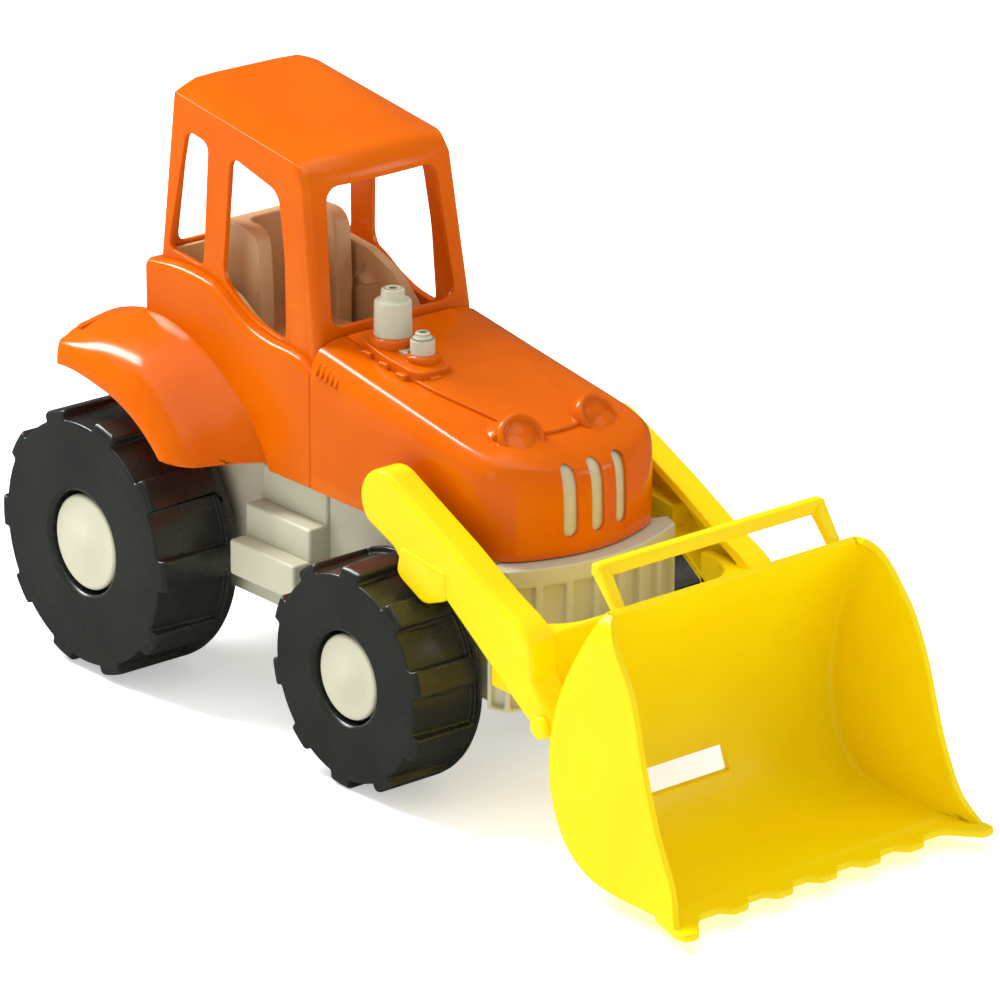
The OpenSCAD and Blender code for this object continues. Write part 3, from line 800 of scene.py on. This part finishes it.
stack_top = node_box("exhaust_stacks")[1].z
bridge = slab([(-19, 17), (-10.5, 17), (-10, 29), (-20, 29)], 139, 146.4, "Z", corner=1.5)
finish(joined(stack(*BIG_STACK, 6.8, 141, stack_top - 4.2, 4.4, stack_top),
              stack(*SMALL_STACK, 4.5, 138.6, 152.0, 2.9, 154.3), bridge),
       "exhaust", "tractor", "cream_plastic", ["exhaust_stacks"], bevel=0.6)

# %% [markdown]
# ## The cab
# The cab is a tall greenhouse on a wider lower body. The greenhouse is a tapered box with a
# crowned roof, walls 2.2 mm thick, and open windows with round corners. It starts as a slab of
# its side outline, is drawn in towards the roof, hollowed by a smaller copy of itself and then
# cut through from the side and from the front. The corner posts are rounded before the cuts, so
# they run smoothly past the windows, whose own edges get only a fine bevel.

# %% Shape the greenhouse
cab_low = node_box("cab_shell")[0]
CAB_HALF, ROOF_HALF = 36.3, 33.4
WAIST_Z, ROOF_Z = 144.0, 219.2
CAB_BACK = 145.0
cab_side = [(SEAM_Y + 0.4, 130), (CAB_BACK - 4, 130), (CAB_BACK - 4, 152), (135.1, ROOF_Z), (66, 208.9),
            (60.8, 206.8), (57.7, 202.6), (SEAM_Y + 0.8, 145)]
CREASE_FRONT, CREASE_BACK = (60, 6.0), (128, 22.0)    # (y, half width) of the roof's raised middle


def crease_half(y):
    (y0, h0), (y1, h1) = CREASE_FRONT, CREASE_BACK
    return h0 + (h1 - h0) * (min(max(y, y0), y1) - y0) / (y1 - y0)


def cut_through(bm, place, normal, clear=False):
    """Cuts along a plane, and clears what lies beyond it if asked."""
    bmesh.ops.bisect_plane(bm, geom=bm.verts[:] + bm.edges[:] + bm.faces[:], plane_co=place, plane_no=normal,
                           clear_outer=clear, dist=0.001)


def greenhouse(inset, post, roof_edge):
    """The cab's upper box, drawn smaller by the inset, with round front posts and roof edges."""
    outline = [(y + (inset if y < 95 else -inset), z - (inset if z > 170 else 0)) for y, z in cab_side]
    bm = slab(outline, -1, 1)
    for v in bm.verts:
        lean = max(v.co.z - WAIST_Z, 0) / (ROOF_Z - WAIST_Z)
        v.co.x *= CAB_HALF + (ROOF_HALF - CAB_HALF) * lean - inset
    uprights = [e for e in bm.edges if min(abs(v.co.x) for v in e.verts) > 25
                and e.verts[0].co.x * e.verts[1].co.x > 0]
    front = [e for e in uprights if max(v.co.y for v in e.verts) < 61 + inset
             and abs(e.verts[0].co.z - e.verts[1].co.z) > 2]
    others = [e for e in uprights if e not in front and min(v.co.z for v in e.verts) > 141]
    round_edges(bm, front, post, 6)
    round_edges(bm, [e for e in others if e.is_valid], roof_edge, 4)
    (y0, h0), (y1, h1) = CREASE_FRONT, CREASE_BACK
    for side in (-1, 1):
        cut_through(bm, (side * h0, y0, 0), (y1 - y0, -side * (h1 - h0), 0))
    for x in (-31, -29, -26.5, -23.5, -14, 0, 14, 23.5, 26.5, 29, 31):
        cut_through(bm, (x, 0, 0), (1, 0, 0))
    for v in bm.verts:
        across = min(abs(v.co.x) / (ROOF_HALF - inset), 1)
        if v.co.z > 206 - inset and abs(v.co.x) < ROOF_HALF - inset - 1:
            half = crease_half(v.co.y)
            slope = min(1, (ROOF_HALF - inset - abs(v.co.x)) / (ROOF_HALF - inset - half))
            v.co.z += slope * (1.3 - 0.3 * slope) * (0.9 + 3.4 * ease(v.co.y, 40, 140))
        if v.co.y < 70 and v.co.z > 195:
            v.co.y -= 2.4 * (1 - across * across)
    return bm


window_front = [(73, 195.8), (101.2, 203.0), (104.2, 157.0), (96, 150), (84, 144.5), (66.6, 141), (68.4, 171.9)]
window_rear = [(114.5, 204.4), (127.4, 206.6), (137, 159.8), (116.0, 157.2)]
windscreen = [(-28.8, 149.2), (28.8, 149.2), (25.4, 199.8), (-25.4, 199.8)]
rear_light = [(-30.5, 160.5), (30.5, 160.5), (27, 209), (-27, 209)]


def window_tool():
    return joined(slab(window_front, -60, 60, corner=4.5), slab(window_rear, -60.5, 60.5, corner=3.6))


def screen_tool():
    return joined(slab(windscreen, 20, 95, "Y", corner=5), slab(rear_light, 120, 175, "Y", corner=4))


upper = carve(greenhouse(0, 5.6, 2.2), greenhouse(WALL, 3.2, 1.0))
for tool in (window_tool(), screen_tool(), block((-60, 0, 100), (60, 200, 134.2))):
    upper = carve(upper, tool)
finish(upper, "cab_greenhouse", "tractor", "orange_plastic", ["cab_shell"], bevel=0.4, angle=50)

# %% [markdown]
# ## The cab's lower body and the fenders
# Below the belt line the cab widens into a body with an S-shaped upper edge. The fenders flare
# out of it over the rear wheels: nearly flat on top, rolled down at the outer lip, and cut off
# level in front. Each fender is an open profile spun part of the way round the wheel, then
# nudged by a formula so that it is rounder at the back, and trimmed with two planes.

# %% Shape the lower body
BELT = [(CAB_BACK, 154.6), (128, 156.2), (112, 155.0), (103, 152.2), (94, 147.2), (84, 143.0), (74, 141.2),
        (64, 140.6), (55, 139.0), (SEAM_Y + 0.4, 135.6)]


def sunk(points, depth):
    """The belt line drawn a little lower and inside, for the hollow under its ledge."""
    return [(min(max(y, SEAM_Y + depth), CAB_BACK - depth), z - depth) for y, z in points]


def lower_body():
    """The wide body under the belt line, and the cowl that closes it in front."""
    belt = smooth_line(BELT, 5)
    outer = slab([(SEAM_Y + 0.4, cab_low.z), (CAB_BACK, cab_low.z)] + belt, -HOOD_HALF, HOOD_HALF)
    round_edges(outer, in_profile(beyond(outer, "z", 135)), 3.0, 5)
    low_belt = sunk(belt, WALL)
    inner = slab([(SEAM_Y - 4, cab_low.z - 4), (CAB_BACK - WALL, cab_low.z - 4)] + low_belt
                 + [(SEAM_Y - 4, low_belt[-1][1])], -HOOD_HALF + WALL, HOOD_HALF - WALL)
    well = block((-CAB_HALF + 1.6, SEAM_Y - 4, 100), (CAB_HALF - 1.6, CAB_BACK - 5, 190))
    shell = carve(carve(outer, inner), well)
    front = slab([(-HOOD_HALF + 1.2, 92), (HOOD_HALF - 1.2, 92), (HOOD_HALF - 1.2, 133), (35, 139),
                  (-35, 139), (-HOOD_HALF + 1.2, 133)], SEAM_Y + 0.7, SEAM_Y + 0.7 + WALL, "Y")
    return shell, front


body_shell, cowl = lower_body()
ARCH_Y, ARCH_Z, ARCH_R = 144.4, 52.0, 83.5
arch_tool = both_sides(slab(arc(ARCH_Y, ARCH_Z, ARCH_R - 1.2, 0, 358, 90), 36.8, 60))
body_shell = carve(body_shell, arch_tool)
finish(body_shell, "cab_body", "tractor", "orange_plastic", ["cab_shell"], bevel=0.6, angle=50)
finish(cowl, "cab_cowl", "tractor", "orange_plastic", bevel=0.8)

# %% Shape the fenders
FENDER_BACK, FENDER_FOOT = 164.5, 94.5
FENDER_HALF = 70.0
fender_section = smooth_line([(38.5, 83.6), (41.5, 83.2), (48, 81.0), (55, 78.6), (61, 76.2), (65, 73.4),
                              (68, 69.6), (69.7, 65.4), (FENDER_HALF, 61.8)], 3)


def fender():
    """A profile spun part of the way round the wheel, nudged and trimmed."""
    bm = bmesh.new()
    start = math.radians(52)
    verts = [bm.verts.new((x, r * math.cos(start), r * math.sin(start))) for x, r in fender_section]
    edges = [bm.edges.new(pair) for pair in zip(verts, verts[1:])]
    bmesh.ops.spin(bm, geom=verts + edges, cent=(0, 0, 0), axis=(1, 0, 0), angle=math.radians(112), steps=56)
    bmesh.ops.remove_doubles(bm, verts=bm.verts, dist=0.001)
    for v in bm.verts:
        angle = math.degrees(math.atan2(v.co.z, v.co.y))
        reach = math.hypot(v.co.y, v.co.z)
        out = (v.co.x - 40) / (FENDER_HALF - 40)
        back = 1 - ease(angle, 66, 100)
        ahead = ease(angle, 105, 145)
        bulge = max(out, 0) * max(1 - out, 0) * 4
        reach += back * (bulge * 1.6 - 3.6 * (1 - max(out, 0))) - ahead * bulge * 3.4
        reach += back * 4.5 * ease(out, 0.75, 1)
        v.co.y, v.co.z = reach * math.cos(math.radians(angle)), reach * math.sin(math.radians(angle))
    move(bm, (0, ARCH_Y, ARCH_Z))
    for place, normal in (((0, FENDER_BACK, 0), (0.0, 1, 0)), ((66, FENDER_BACK, 0), (0.62, 0.78, 0)),
                          ((0, 0, FENDER_FOOT), (0, 0, -1))):
        cut_through(bm, place, normal, clear=True)
    return thicken(bm, Vector((0, 0, 1)), WALL)


finish(both_sides(fender()), "fenders", "tractor", "orange_plastic", ["cab_shell"],
       bevel=0.5, angle=60)


def tail_lamp():
    """The small raised bar on the back of a fender."""
    bm = slab([(46, -1.6), (60, -1.6), (60, 1.6), (46, 1.6)], 0, 3.2, "Z", corner=0.9)
    spun(bm, 10, "Y", (53, 0, 0))
    move(bm, (0, 160, 126.8))
    return bm


finish(both_sides(tail_lamp()), "tail_lamps", "tractor", "orange_plastic", bevel=0.6)


def wheel_house():
    """The wall between the cab and a rear tyre."""
    outline = arc(ARCH_Y, ARCH_Z, ARCH_R - 1.0, 91, 150, 24) + [(78, cab_low.z), (CAB_BACK - 1.2, cab_low.z)]
    return slab(outline, 34.6, 36.8)


finish(both_sides(wheel_house()), "wheel_houses", "tractor", "orange_plastic", bevel=0.4)

# %% [markdown]
# ## Inside the cab
# Seat, floor, bulkhead, side consoles and dashboard are one cream moulding that lights up orange
# from the cab around it, and that orange light is also painted into its colour as a warmer cream.
# The seat is a deep tub: a block with round shoulders, hollowed from the front.

# %% Make the seat and the interior
LOW_HALF = 34.3


def seat():
    """A deep tub seat: tall rounded wings, hollowed from the front."""
    side = [(126, 119), (126, 166.5)] + arc(121, 166.5, 5, 0, 90, 5) + arc(109.5, 163.5, 8, 90, 172, 7)
    side += [(100.5, 148), (100.5, 119)]
    tub = slab(side, -22, 22)
    round_edges(tub, in_profile(beyond(tub, "z", 147)), 4.0, 5)
    hollow = slab([(-14.5, 130.5), (14.5, 130.5), (14.5, 190), (-14.5, 190)], 90, 117, "Y")
    round_edges(hollow, beyond(hollow, "y", 110), 5.0, 5)
    return carve(tub, hollow)


def side_rib():
    """The sloping rib on the far side of the seat, with a three-cornered window."""
    outline = [(66, 119), (66, 137), (70, 143), (80, 152), (95, 157.5), (112, 159.5), (118, 159.5), (118, 119)]
    return carve(slab(outline, 24.5, 28.5), slab([(106.5, 140), (98, 151.5), (88.5, 145.6)], 20, 35))


def interior():
    """Bulkhead, floor, side consoles, seat base and dashboard."""
    low, high = node_box("cab_interior")
    back = high.y
    console = [(60, 119), (60, 131), (84, 136.5), (96, 141.5), (106, 147.5), (118, 151.0), (back, 152.4),
               (back, 119)]
    parts = [block((-LOW_HALF, low.y, 118), (LOW_HALF, back, 120.2)),
             both_sides(slab(console, 25.3, LOW_HALF - 1)),
             block((-17, 92, 119), (17, 118, 130.8)),
             slab([(57, 119), (57, 134), (59, 137.6), (66, 138.4), (69.5, 135), (70.5, 119)], -18, 18)]
    bulkhead = block((-LOW_HALF + 1.5, back - 2.2, 119), (LOW_HALF - 1.5, back, 159.3))
    notches = both_sides(block((22.5, back - 6, 147), (27.5, back + 6, 152)))
    return [carve(bulkhead, notches)] + parts


finish(joined(*interior()), "cab_moulding", "tractor", "cream_plastic", ["cab_interior"], bevel=1.0, paint=CREAM_WITH_PAINTED_ORANGE_LIGHT)
finish(side_rib(), "cab_rib", "tractor", "cream_plastic", ["cab_interior"], bevel=0.4, paint=CREAM_WITH_PAINTED_ORANGE_LIGHT)
finish(seat(), "seat", "tractor", "cream_plastic", ["cab_interior"], bevel=1.3, segments=4, paint=CREAM_WITH_PAINTED_ORANGE_LIGHT)

# %% [markdown]
# ## The chassis
# The chassis is an open tub with a rounded radiator block in front and three-tiered steps on each
# side. Recessed panels around the radiator block are made by insetting its front faces one by
# one and pushing them in.

# %% Make the chassis
chassis_low = node_box("chassis")[0]
TUB_HALF = 34.0
DECK_Z = 91.0


def tub():
    outer = block((-TUB_HALF, -49.6, 36), (TUB_HALF, 158, DECK_Z))
    inner = block((-TUB_HALF + WALL, -49.6 + WALL, 30), (TUB_HALF - WALL, 158 - WALL, DECK_Z - WALL))
    return carve(outer, inner)


def radiator():
    half, front = 42.0, chassis_low.y
    arch = [(t * (half - 3), front + (1 - math.cos(math.radians(t * 75))) * 13.5)
            for t in (-1, -0.72, -0.43, -0.145, 0.145, 0.43, 0.72, 1)]
    neck = TUB_HALF - 1
    outline = [(-neck, -28), (-neck, -51), (-half, -53.5)] + arch
    outline += [(half, -53.5), (neck, -51), (neck, -28)]
    bm = slab(outline, 38, DECK_Z, "Z")
    panels = [f for f in bm.faces
              if abs(f.normal.z) < 0.1 and f.calc_center_median().y < -56 and f.calc_area() > 300]
    bmesh.ops.inset_individual(bm, faces=panels, thickness=2.0, depth=0)
    for panel in panels:
        top = [v for v in panel.verts if v.co.z > 80]
        move(bm, (0, 0, -5.5), top)
    bmesh.ops.inset_individual(bm, faces=panels, thickness=0.4, depth=-2.6)
    return bm


def steps():
    tiers = [(51, 51, 64.7), (43.5, 64.0, 77), (35.5, 76.4, DECK_Z)]
    return joined(*[block((TUB_HALF - 4, 44.6, low), (out, 82.6, high)) for out, low, high in tiers])


def towers():
    outline = [(-22.5, 89), (-4.5, 89)] + arc(-13.5, 107.5, 9, 0, 180, 16)
    return slab(outline, 32, 37.4)


def axle_bosses():
    parts = []
    for y, z, r, out in ((142.6, 50.75, 8, 36.0), (-7.4, 42.3, 6, 36.6)):
        parts.append(turned([(24, 2.1), (24, r + 1), (out, r), (out, 2.1)], 40, centre=(0, y, z)))
    return joined(*parts)


def grille_insert():
    """A pale plate that follows the inside of the nose, just behind the slots."""
    middle = [hood_point(PLAN_STEPS // 2, k) for k in range(RISE_STEPS + 1)]
    front = [min(plan_points, key=lambda q: abs(q.x - x)).y for x in range(-16, 17)]
    bm = bmesh.new()
    bmesh.ops.create_grid(bm, x_segments=16, y_segments=16, size=1)
    for v in bm.verts:
        x, z = v.co.x * 16, 110.5 + v.co.y * 15.5
        y = min(middle, key=lambda q: abs(q.z - z)).y + front[round(x) + 16] - NOSE_Y
        v.co = Vector((x, y + 1.5, z))
    return thicken(bm, Vector((0, -1, 0)), 1.2)


finish(tub(), "chassis_tub", "tractor", "cream_plastic", ["chassis"], bevel=1.0)
finish(radiator(), "radiator_block", "tractor", "cream_plastic", ["chassis"], bevel=0.7)
finish(both_sides(steps()), "steps", "tractor", "cream_plastic", ["chassis"], bevel=1.2, segments=4)
finish(both_sides(joined(towers(), axle_bosses())), "chassis_bosses", "tractor", "cream_plastic", ["chassis"],
       bevel=0.6)
finish(grille_insert(), "grille_insert", "tractor", "cream_plastic", bevel=0.5)

# %% [markdown]
# ## The loader arms
# Two arms and the panel between them are one moulding. Each arm is a channel, closed on its
# outer face and open towards the middle, with a round boss at each end.

# %% Make the arms
ARM_IN, ARM_OUT = 46.0, node_box("loader_arms")[1].x
PIVOT = (-13.5, 107.5)
TILT = (-102.0, 51.0)
PANEL_Y = -93.5
upper_edge = smooth_line([(-96, 66), (-95.4, 74), (-93.6, 80.2), (-88, 84.6), (-75.8, 90), (-54.2, 101.4)], 4)
arm_outline = (arc(*PIVOT, 12, 118, -50, 16)
               + [(-19.8, 92.6), (-31, 81.5), (-34, 79.8), (-45.8, 80.2), (-48.4, 81.6), (-91.6, 51.2)]
               + arc(*TILT, 5, -90, -205, 10) + upper_edge)


def arm():
    outer = slab(arm_outline, ARM_IN, ARM_OUT)
    round_edges(outer, beyond(outer, "x", ARM_OUT - 0.01), 2.2, 4, clamp=False)
    channel = slab([(-22, 106), (-20, 113.8), (-53, 97.6), (-75, 86.6), (-86, 80.5), (-86.5, 58), (-49.5, 84.2),
                    (-33, 83.4), (-24.5, 92)], ARM_IN - 2, ARM_OUT - 3, corner=1.5)
    return carve(outer, channel)


def cross_panel():
    r = 18.0
    x, side, back = ARM_IN - r, ARM_IN + 5, PANEL_Y + 3.5
    outline = [(-side, PANEL_Y), (-side, back + 24), (-ARM_IN, back + 24)] + arc(-x, back + r, r, 180, 270, 10)
    outline += arc(x, back + r, r, 270, 360, 10) + [(ARM_IN, back + 24), (side, back + 24), (side, PANEL_Y)]
    return slab(outline, 53, 80, "Z")


def stop_tab():
    """The rounded stop under each arm, which rests near the front axle when the loader is down."""
    outline = [(-24.6, 95), (-22.4, 85.2), (-24.6, 82.6), (-36, 77.2), (-39, 77.2), (-48, 80.6), (-49.6, 83.4),
               (-50, 92)]
    bm = slab(outline, ARM_IN + 1.5, ARM_OUT + 0.6, corner=1.4)
    round_edges(bm, beyond(bm, "x", ARM_OUT), 1.6, 4, clamp=False)
    return bm


finish(both_sides(stop_tab()), "arm_stop_tabs", "loader", "yellow_plastic", ["loader_arms"], bevel=0.4)
finish(both_sides(arm()), "arms", "loader", "yellow_plastic", ["loader_arms"], bevel=0.7)
finish(cross_panel(), "arm_cross_panel", "loader", "yellow_plastic", ["loader_arms"], bevel=1.3, segments=4)

# %% [markdown]
# ## The bucket
# The bucket is one sheet of plastic: a curved back that rolls into the floor, and two side
# plates. All of it is one grid: its columns run along a side plate, round the corner, across the
# back and round to the other side plate, and its rows follow the curve of the back down to the
# lip. The sheet is thickened and gets its slot. The toothed lip is a flat slab of its own.

# %% Shape the bucket
bucket_low, bucket_high = node_box("bucket")
LIP_Z, LIP_T = 5.42, 2.66
LIP_HALF = bucket_high.x
TOOTH_PITCH = 20.5
back_keys = [(-134, 103), (-129, 93.5), (-122.2, 81), (-117.4, 68.5), (-114.3, 55), (-113.3, 43), (-114.4, 33),
             (-117.2, 24.5), (-121.6, 17), (-127.8, 11), (-136, 7), (-146, 5.3), (-159, 5.1), (-172, 5.3),
             (-182, 5.5)]
front_keys = [(-138.5, 103), (-142.5, 99), (-148, 92), (-153, 85.5), (-157, 79), (-161.2, 68), (-164.4, 58),
              (-167.6, 48), (-171, 38), (-175, 29), (-178.6, 22), (-182, 15.5), (-185, 10.5), (-187.2, 7.5),
              (-188, 5.6)]
BACK_ROWS, BACK_COLUMNS = 60, 44
SIDE_COLUMNS, FILLET_COLUMNS = 8, 8
back_line = smooth_line(back_keys, 5)
front_line = smooth_line(front_keys, 5)


def bucket_half(z):
    """Half width of the bucket at a height: narrower towards the top, with rounded corners."""
    top = min(max((z - 92) / 11.4, 0), 0.97)
    return 67.4 - 3.4 * ease(z, 55, 104) - 8 * (1 - math.sqrt(1 - top * top))


def bucket_corners(t):
    """Front edge and back corner of the right-hand side plate, at that share of the way down."""
    back, front = along(back_line, t), along(front_line, t)
    flare = 5.0 * ease(-front.x, 176, 189) * (1 - ease(front.y, 8, 26))
    edge = Vector((bucket_half(front.y) + flare, front.x, front.y))
    return edge, Vector((bucket_half(back.y), back.x, back.y))


def bucket_point(column, row):
    """A point of the sheet: side plate, round corner, back, and the same mirrored."""
    side = -1 if column < BACK_COLUMNS / 2 else 1
    step = min(column, BACK_COLUMNS - column)
    edge, corner = bucket_corners(row / BACK_ROWS)
    depth = (edge - corner).length
    r = min(6.5, 0.55 * depth)
    ahead = (edge - corner).normalized()
    inward = Vector((-1, 0, 0))
    if step <= SIDE_COLUMNS:
        place = edge.lerp(corner + ahead * r, step / SIDE_COLUMNS)
    elif step <= SIDE_COLUMNS + FILLET_COLUMNS:
        t = (step - SIDE_COLUMNS) / FILLET_COLUMNS
        place = corner + ahead * r * (1 - t) ** 2 + inward * r * t ** 2
    else:
        t = (step - SIDE_COLUMNS - FILLET_COLUMNS) / (BACK_COLUMNS / 2 - SIDE_COLUMNS - FILLET_COLUMNS)
        place = (corner + inward * r).lerp(Vector((0, corner.y, corner.z)), t)
    return Vector((side * place.x, place.y, place.z))


def bucket_shell():
    bm = bmesh.new()
    bmesh.ops.create_grid(bm, x_segments=BACK_COLUMNS, y_segments=BACK_ROWS, size=1)
    for v in bm.verts:
        v.co = bucket_point(round((v.co.x + 1) / 2 * BACK_COLUMNS), round((v.co.y + 1) / 2 * BACK_ROWS))
    return thicken(bm, Vector((0, 1, 0)), 2.5)


def lip():
    """The toothed edge: small teeth between two long corner teeth."""
    base, tip, far = -181.0, -186.2, bucket_low.y
    outline = [(LIP_HALF - 5, -172), (LIP_HALF, far + 5), (LIP_HALF - 0.6, far + 1), (LIP_HALF - 2.6, far),
               (66.4, far), (63.4, far + 3.6), (58.5, base - 3), (54, base)]
    for i in (2, 1, 0, -1, -2):
        middle = i * TOOTH_PITCH
        outline += [(middle + 7.6, base), (middle + 3.4, tip), (middle - 3.4, tip), (middle - 7.6, base)]
    outline += [(-x, y) for x, y in reversed(outline[:8])]
    return slab(outline, LIP_Z, LIP_Z + LIP_T, "Z", corner=0.9)


def grab_handle():
    """A bar on two posts, which a child can lift the loader by."""
    half = 52.3
    post = [(-130.7, 99), (-135.4, 99), (-124.5, 114.9), (-120.1, 114.9), (-120.1, 110.9)]
    bar = slab([(-124.8, 110.3), (-119.6, 110.3), (-119.6, 115.5), (-124.8, 115.5)], -half, half)
    return joined(bar, both_sides(slab(post, half - 5.1, half - 0.2)))


def ears():
    """The lugs behind the bucket that its pins go through."""
    outline = [(-116, 64)] + arc(*TILT, 5.5, 70, -70, 12) + [(-114.6, 37)]
    return slab(outline, ARM_IN - 5.6, ARM_IN - 0.4)


bucket_slot = slab([(-29.5, 22.2), (12.5, 22.2), (12.5, 31.2), (-29.5, 31.2)], -132, -104, "Y", corner=1)
shell = carve(bucket_shell(), bucket_slot)
finish(lip(), "bucket_lip", "scoop", "yellow_plastic", ["bucket"], bevel=0.7)
finish(shell, "bucket_shell", "scoop", "yellow_plastic", ["bucket"], bevel=0.3, angle=60)
finish(grab_handle(), "bucket_handle", "scoop", "yellow_plastic", ["bucket"], bevel=1.5, segments=4)
finish(both_sides(ears()), "bucket_ears", "scoop", "yellow_plastic", ["bucket"], bevel=0.6)

# %% [markdown]
# ## Pins
# Yellow plastic pins carry the arms and the bucket. Only their rounded heads are seen.

# %% Make the pins
pins_high = node_box("bucket_pins")[1]


def bucket_pin():
    out = pins_high.x
    profile = [(ARM_IN - 5.4, 0), (ARM_IN - 5.4, 2.55), (out - 2.6, 2.55), (out - 2.6, 4.1),
               *arc(out - 1.2, 2.9, 1.2, 90, 0, 4), (out, 0)]
    return turned(profile, 36, centre=(0, TILT[0], TILT[1]), closed=False)


finish(both_sides(bucket_pin()), "bucket_pin_heads", "scoop", "yellow_plastic", ["bucket_pins"])

# %% [markdown]
# ## Finish
# The difference between the boxes of the engineering model and of the dressed model is printed,
# so that any piece that stands proud shows up at once.

# %% Write the sizes and finish
new_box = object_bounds()
growth = [[round((a - b) / MM, 2) for a, b in zip(*pair)] for pair in zip(new_box, CAD_BOX)]
print("size difference, mm:", growth)
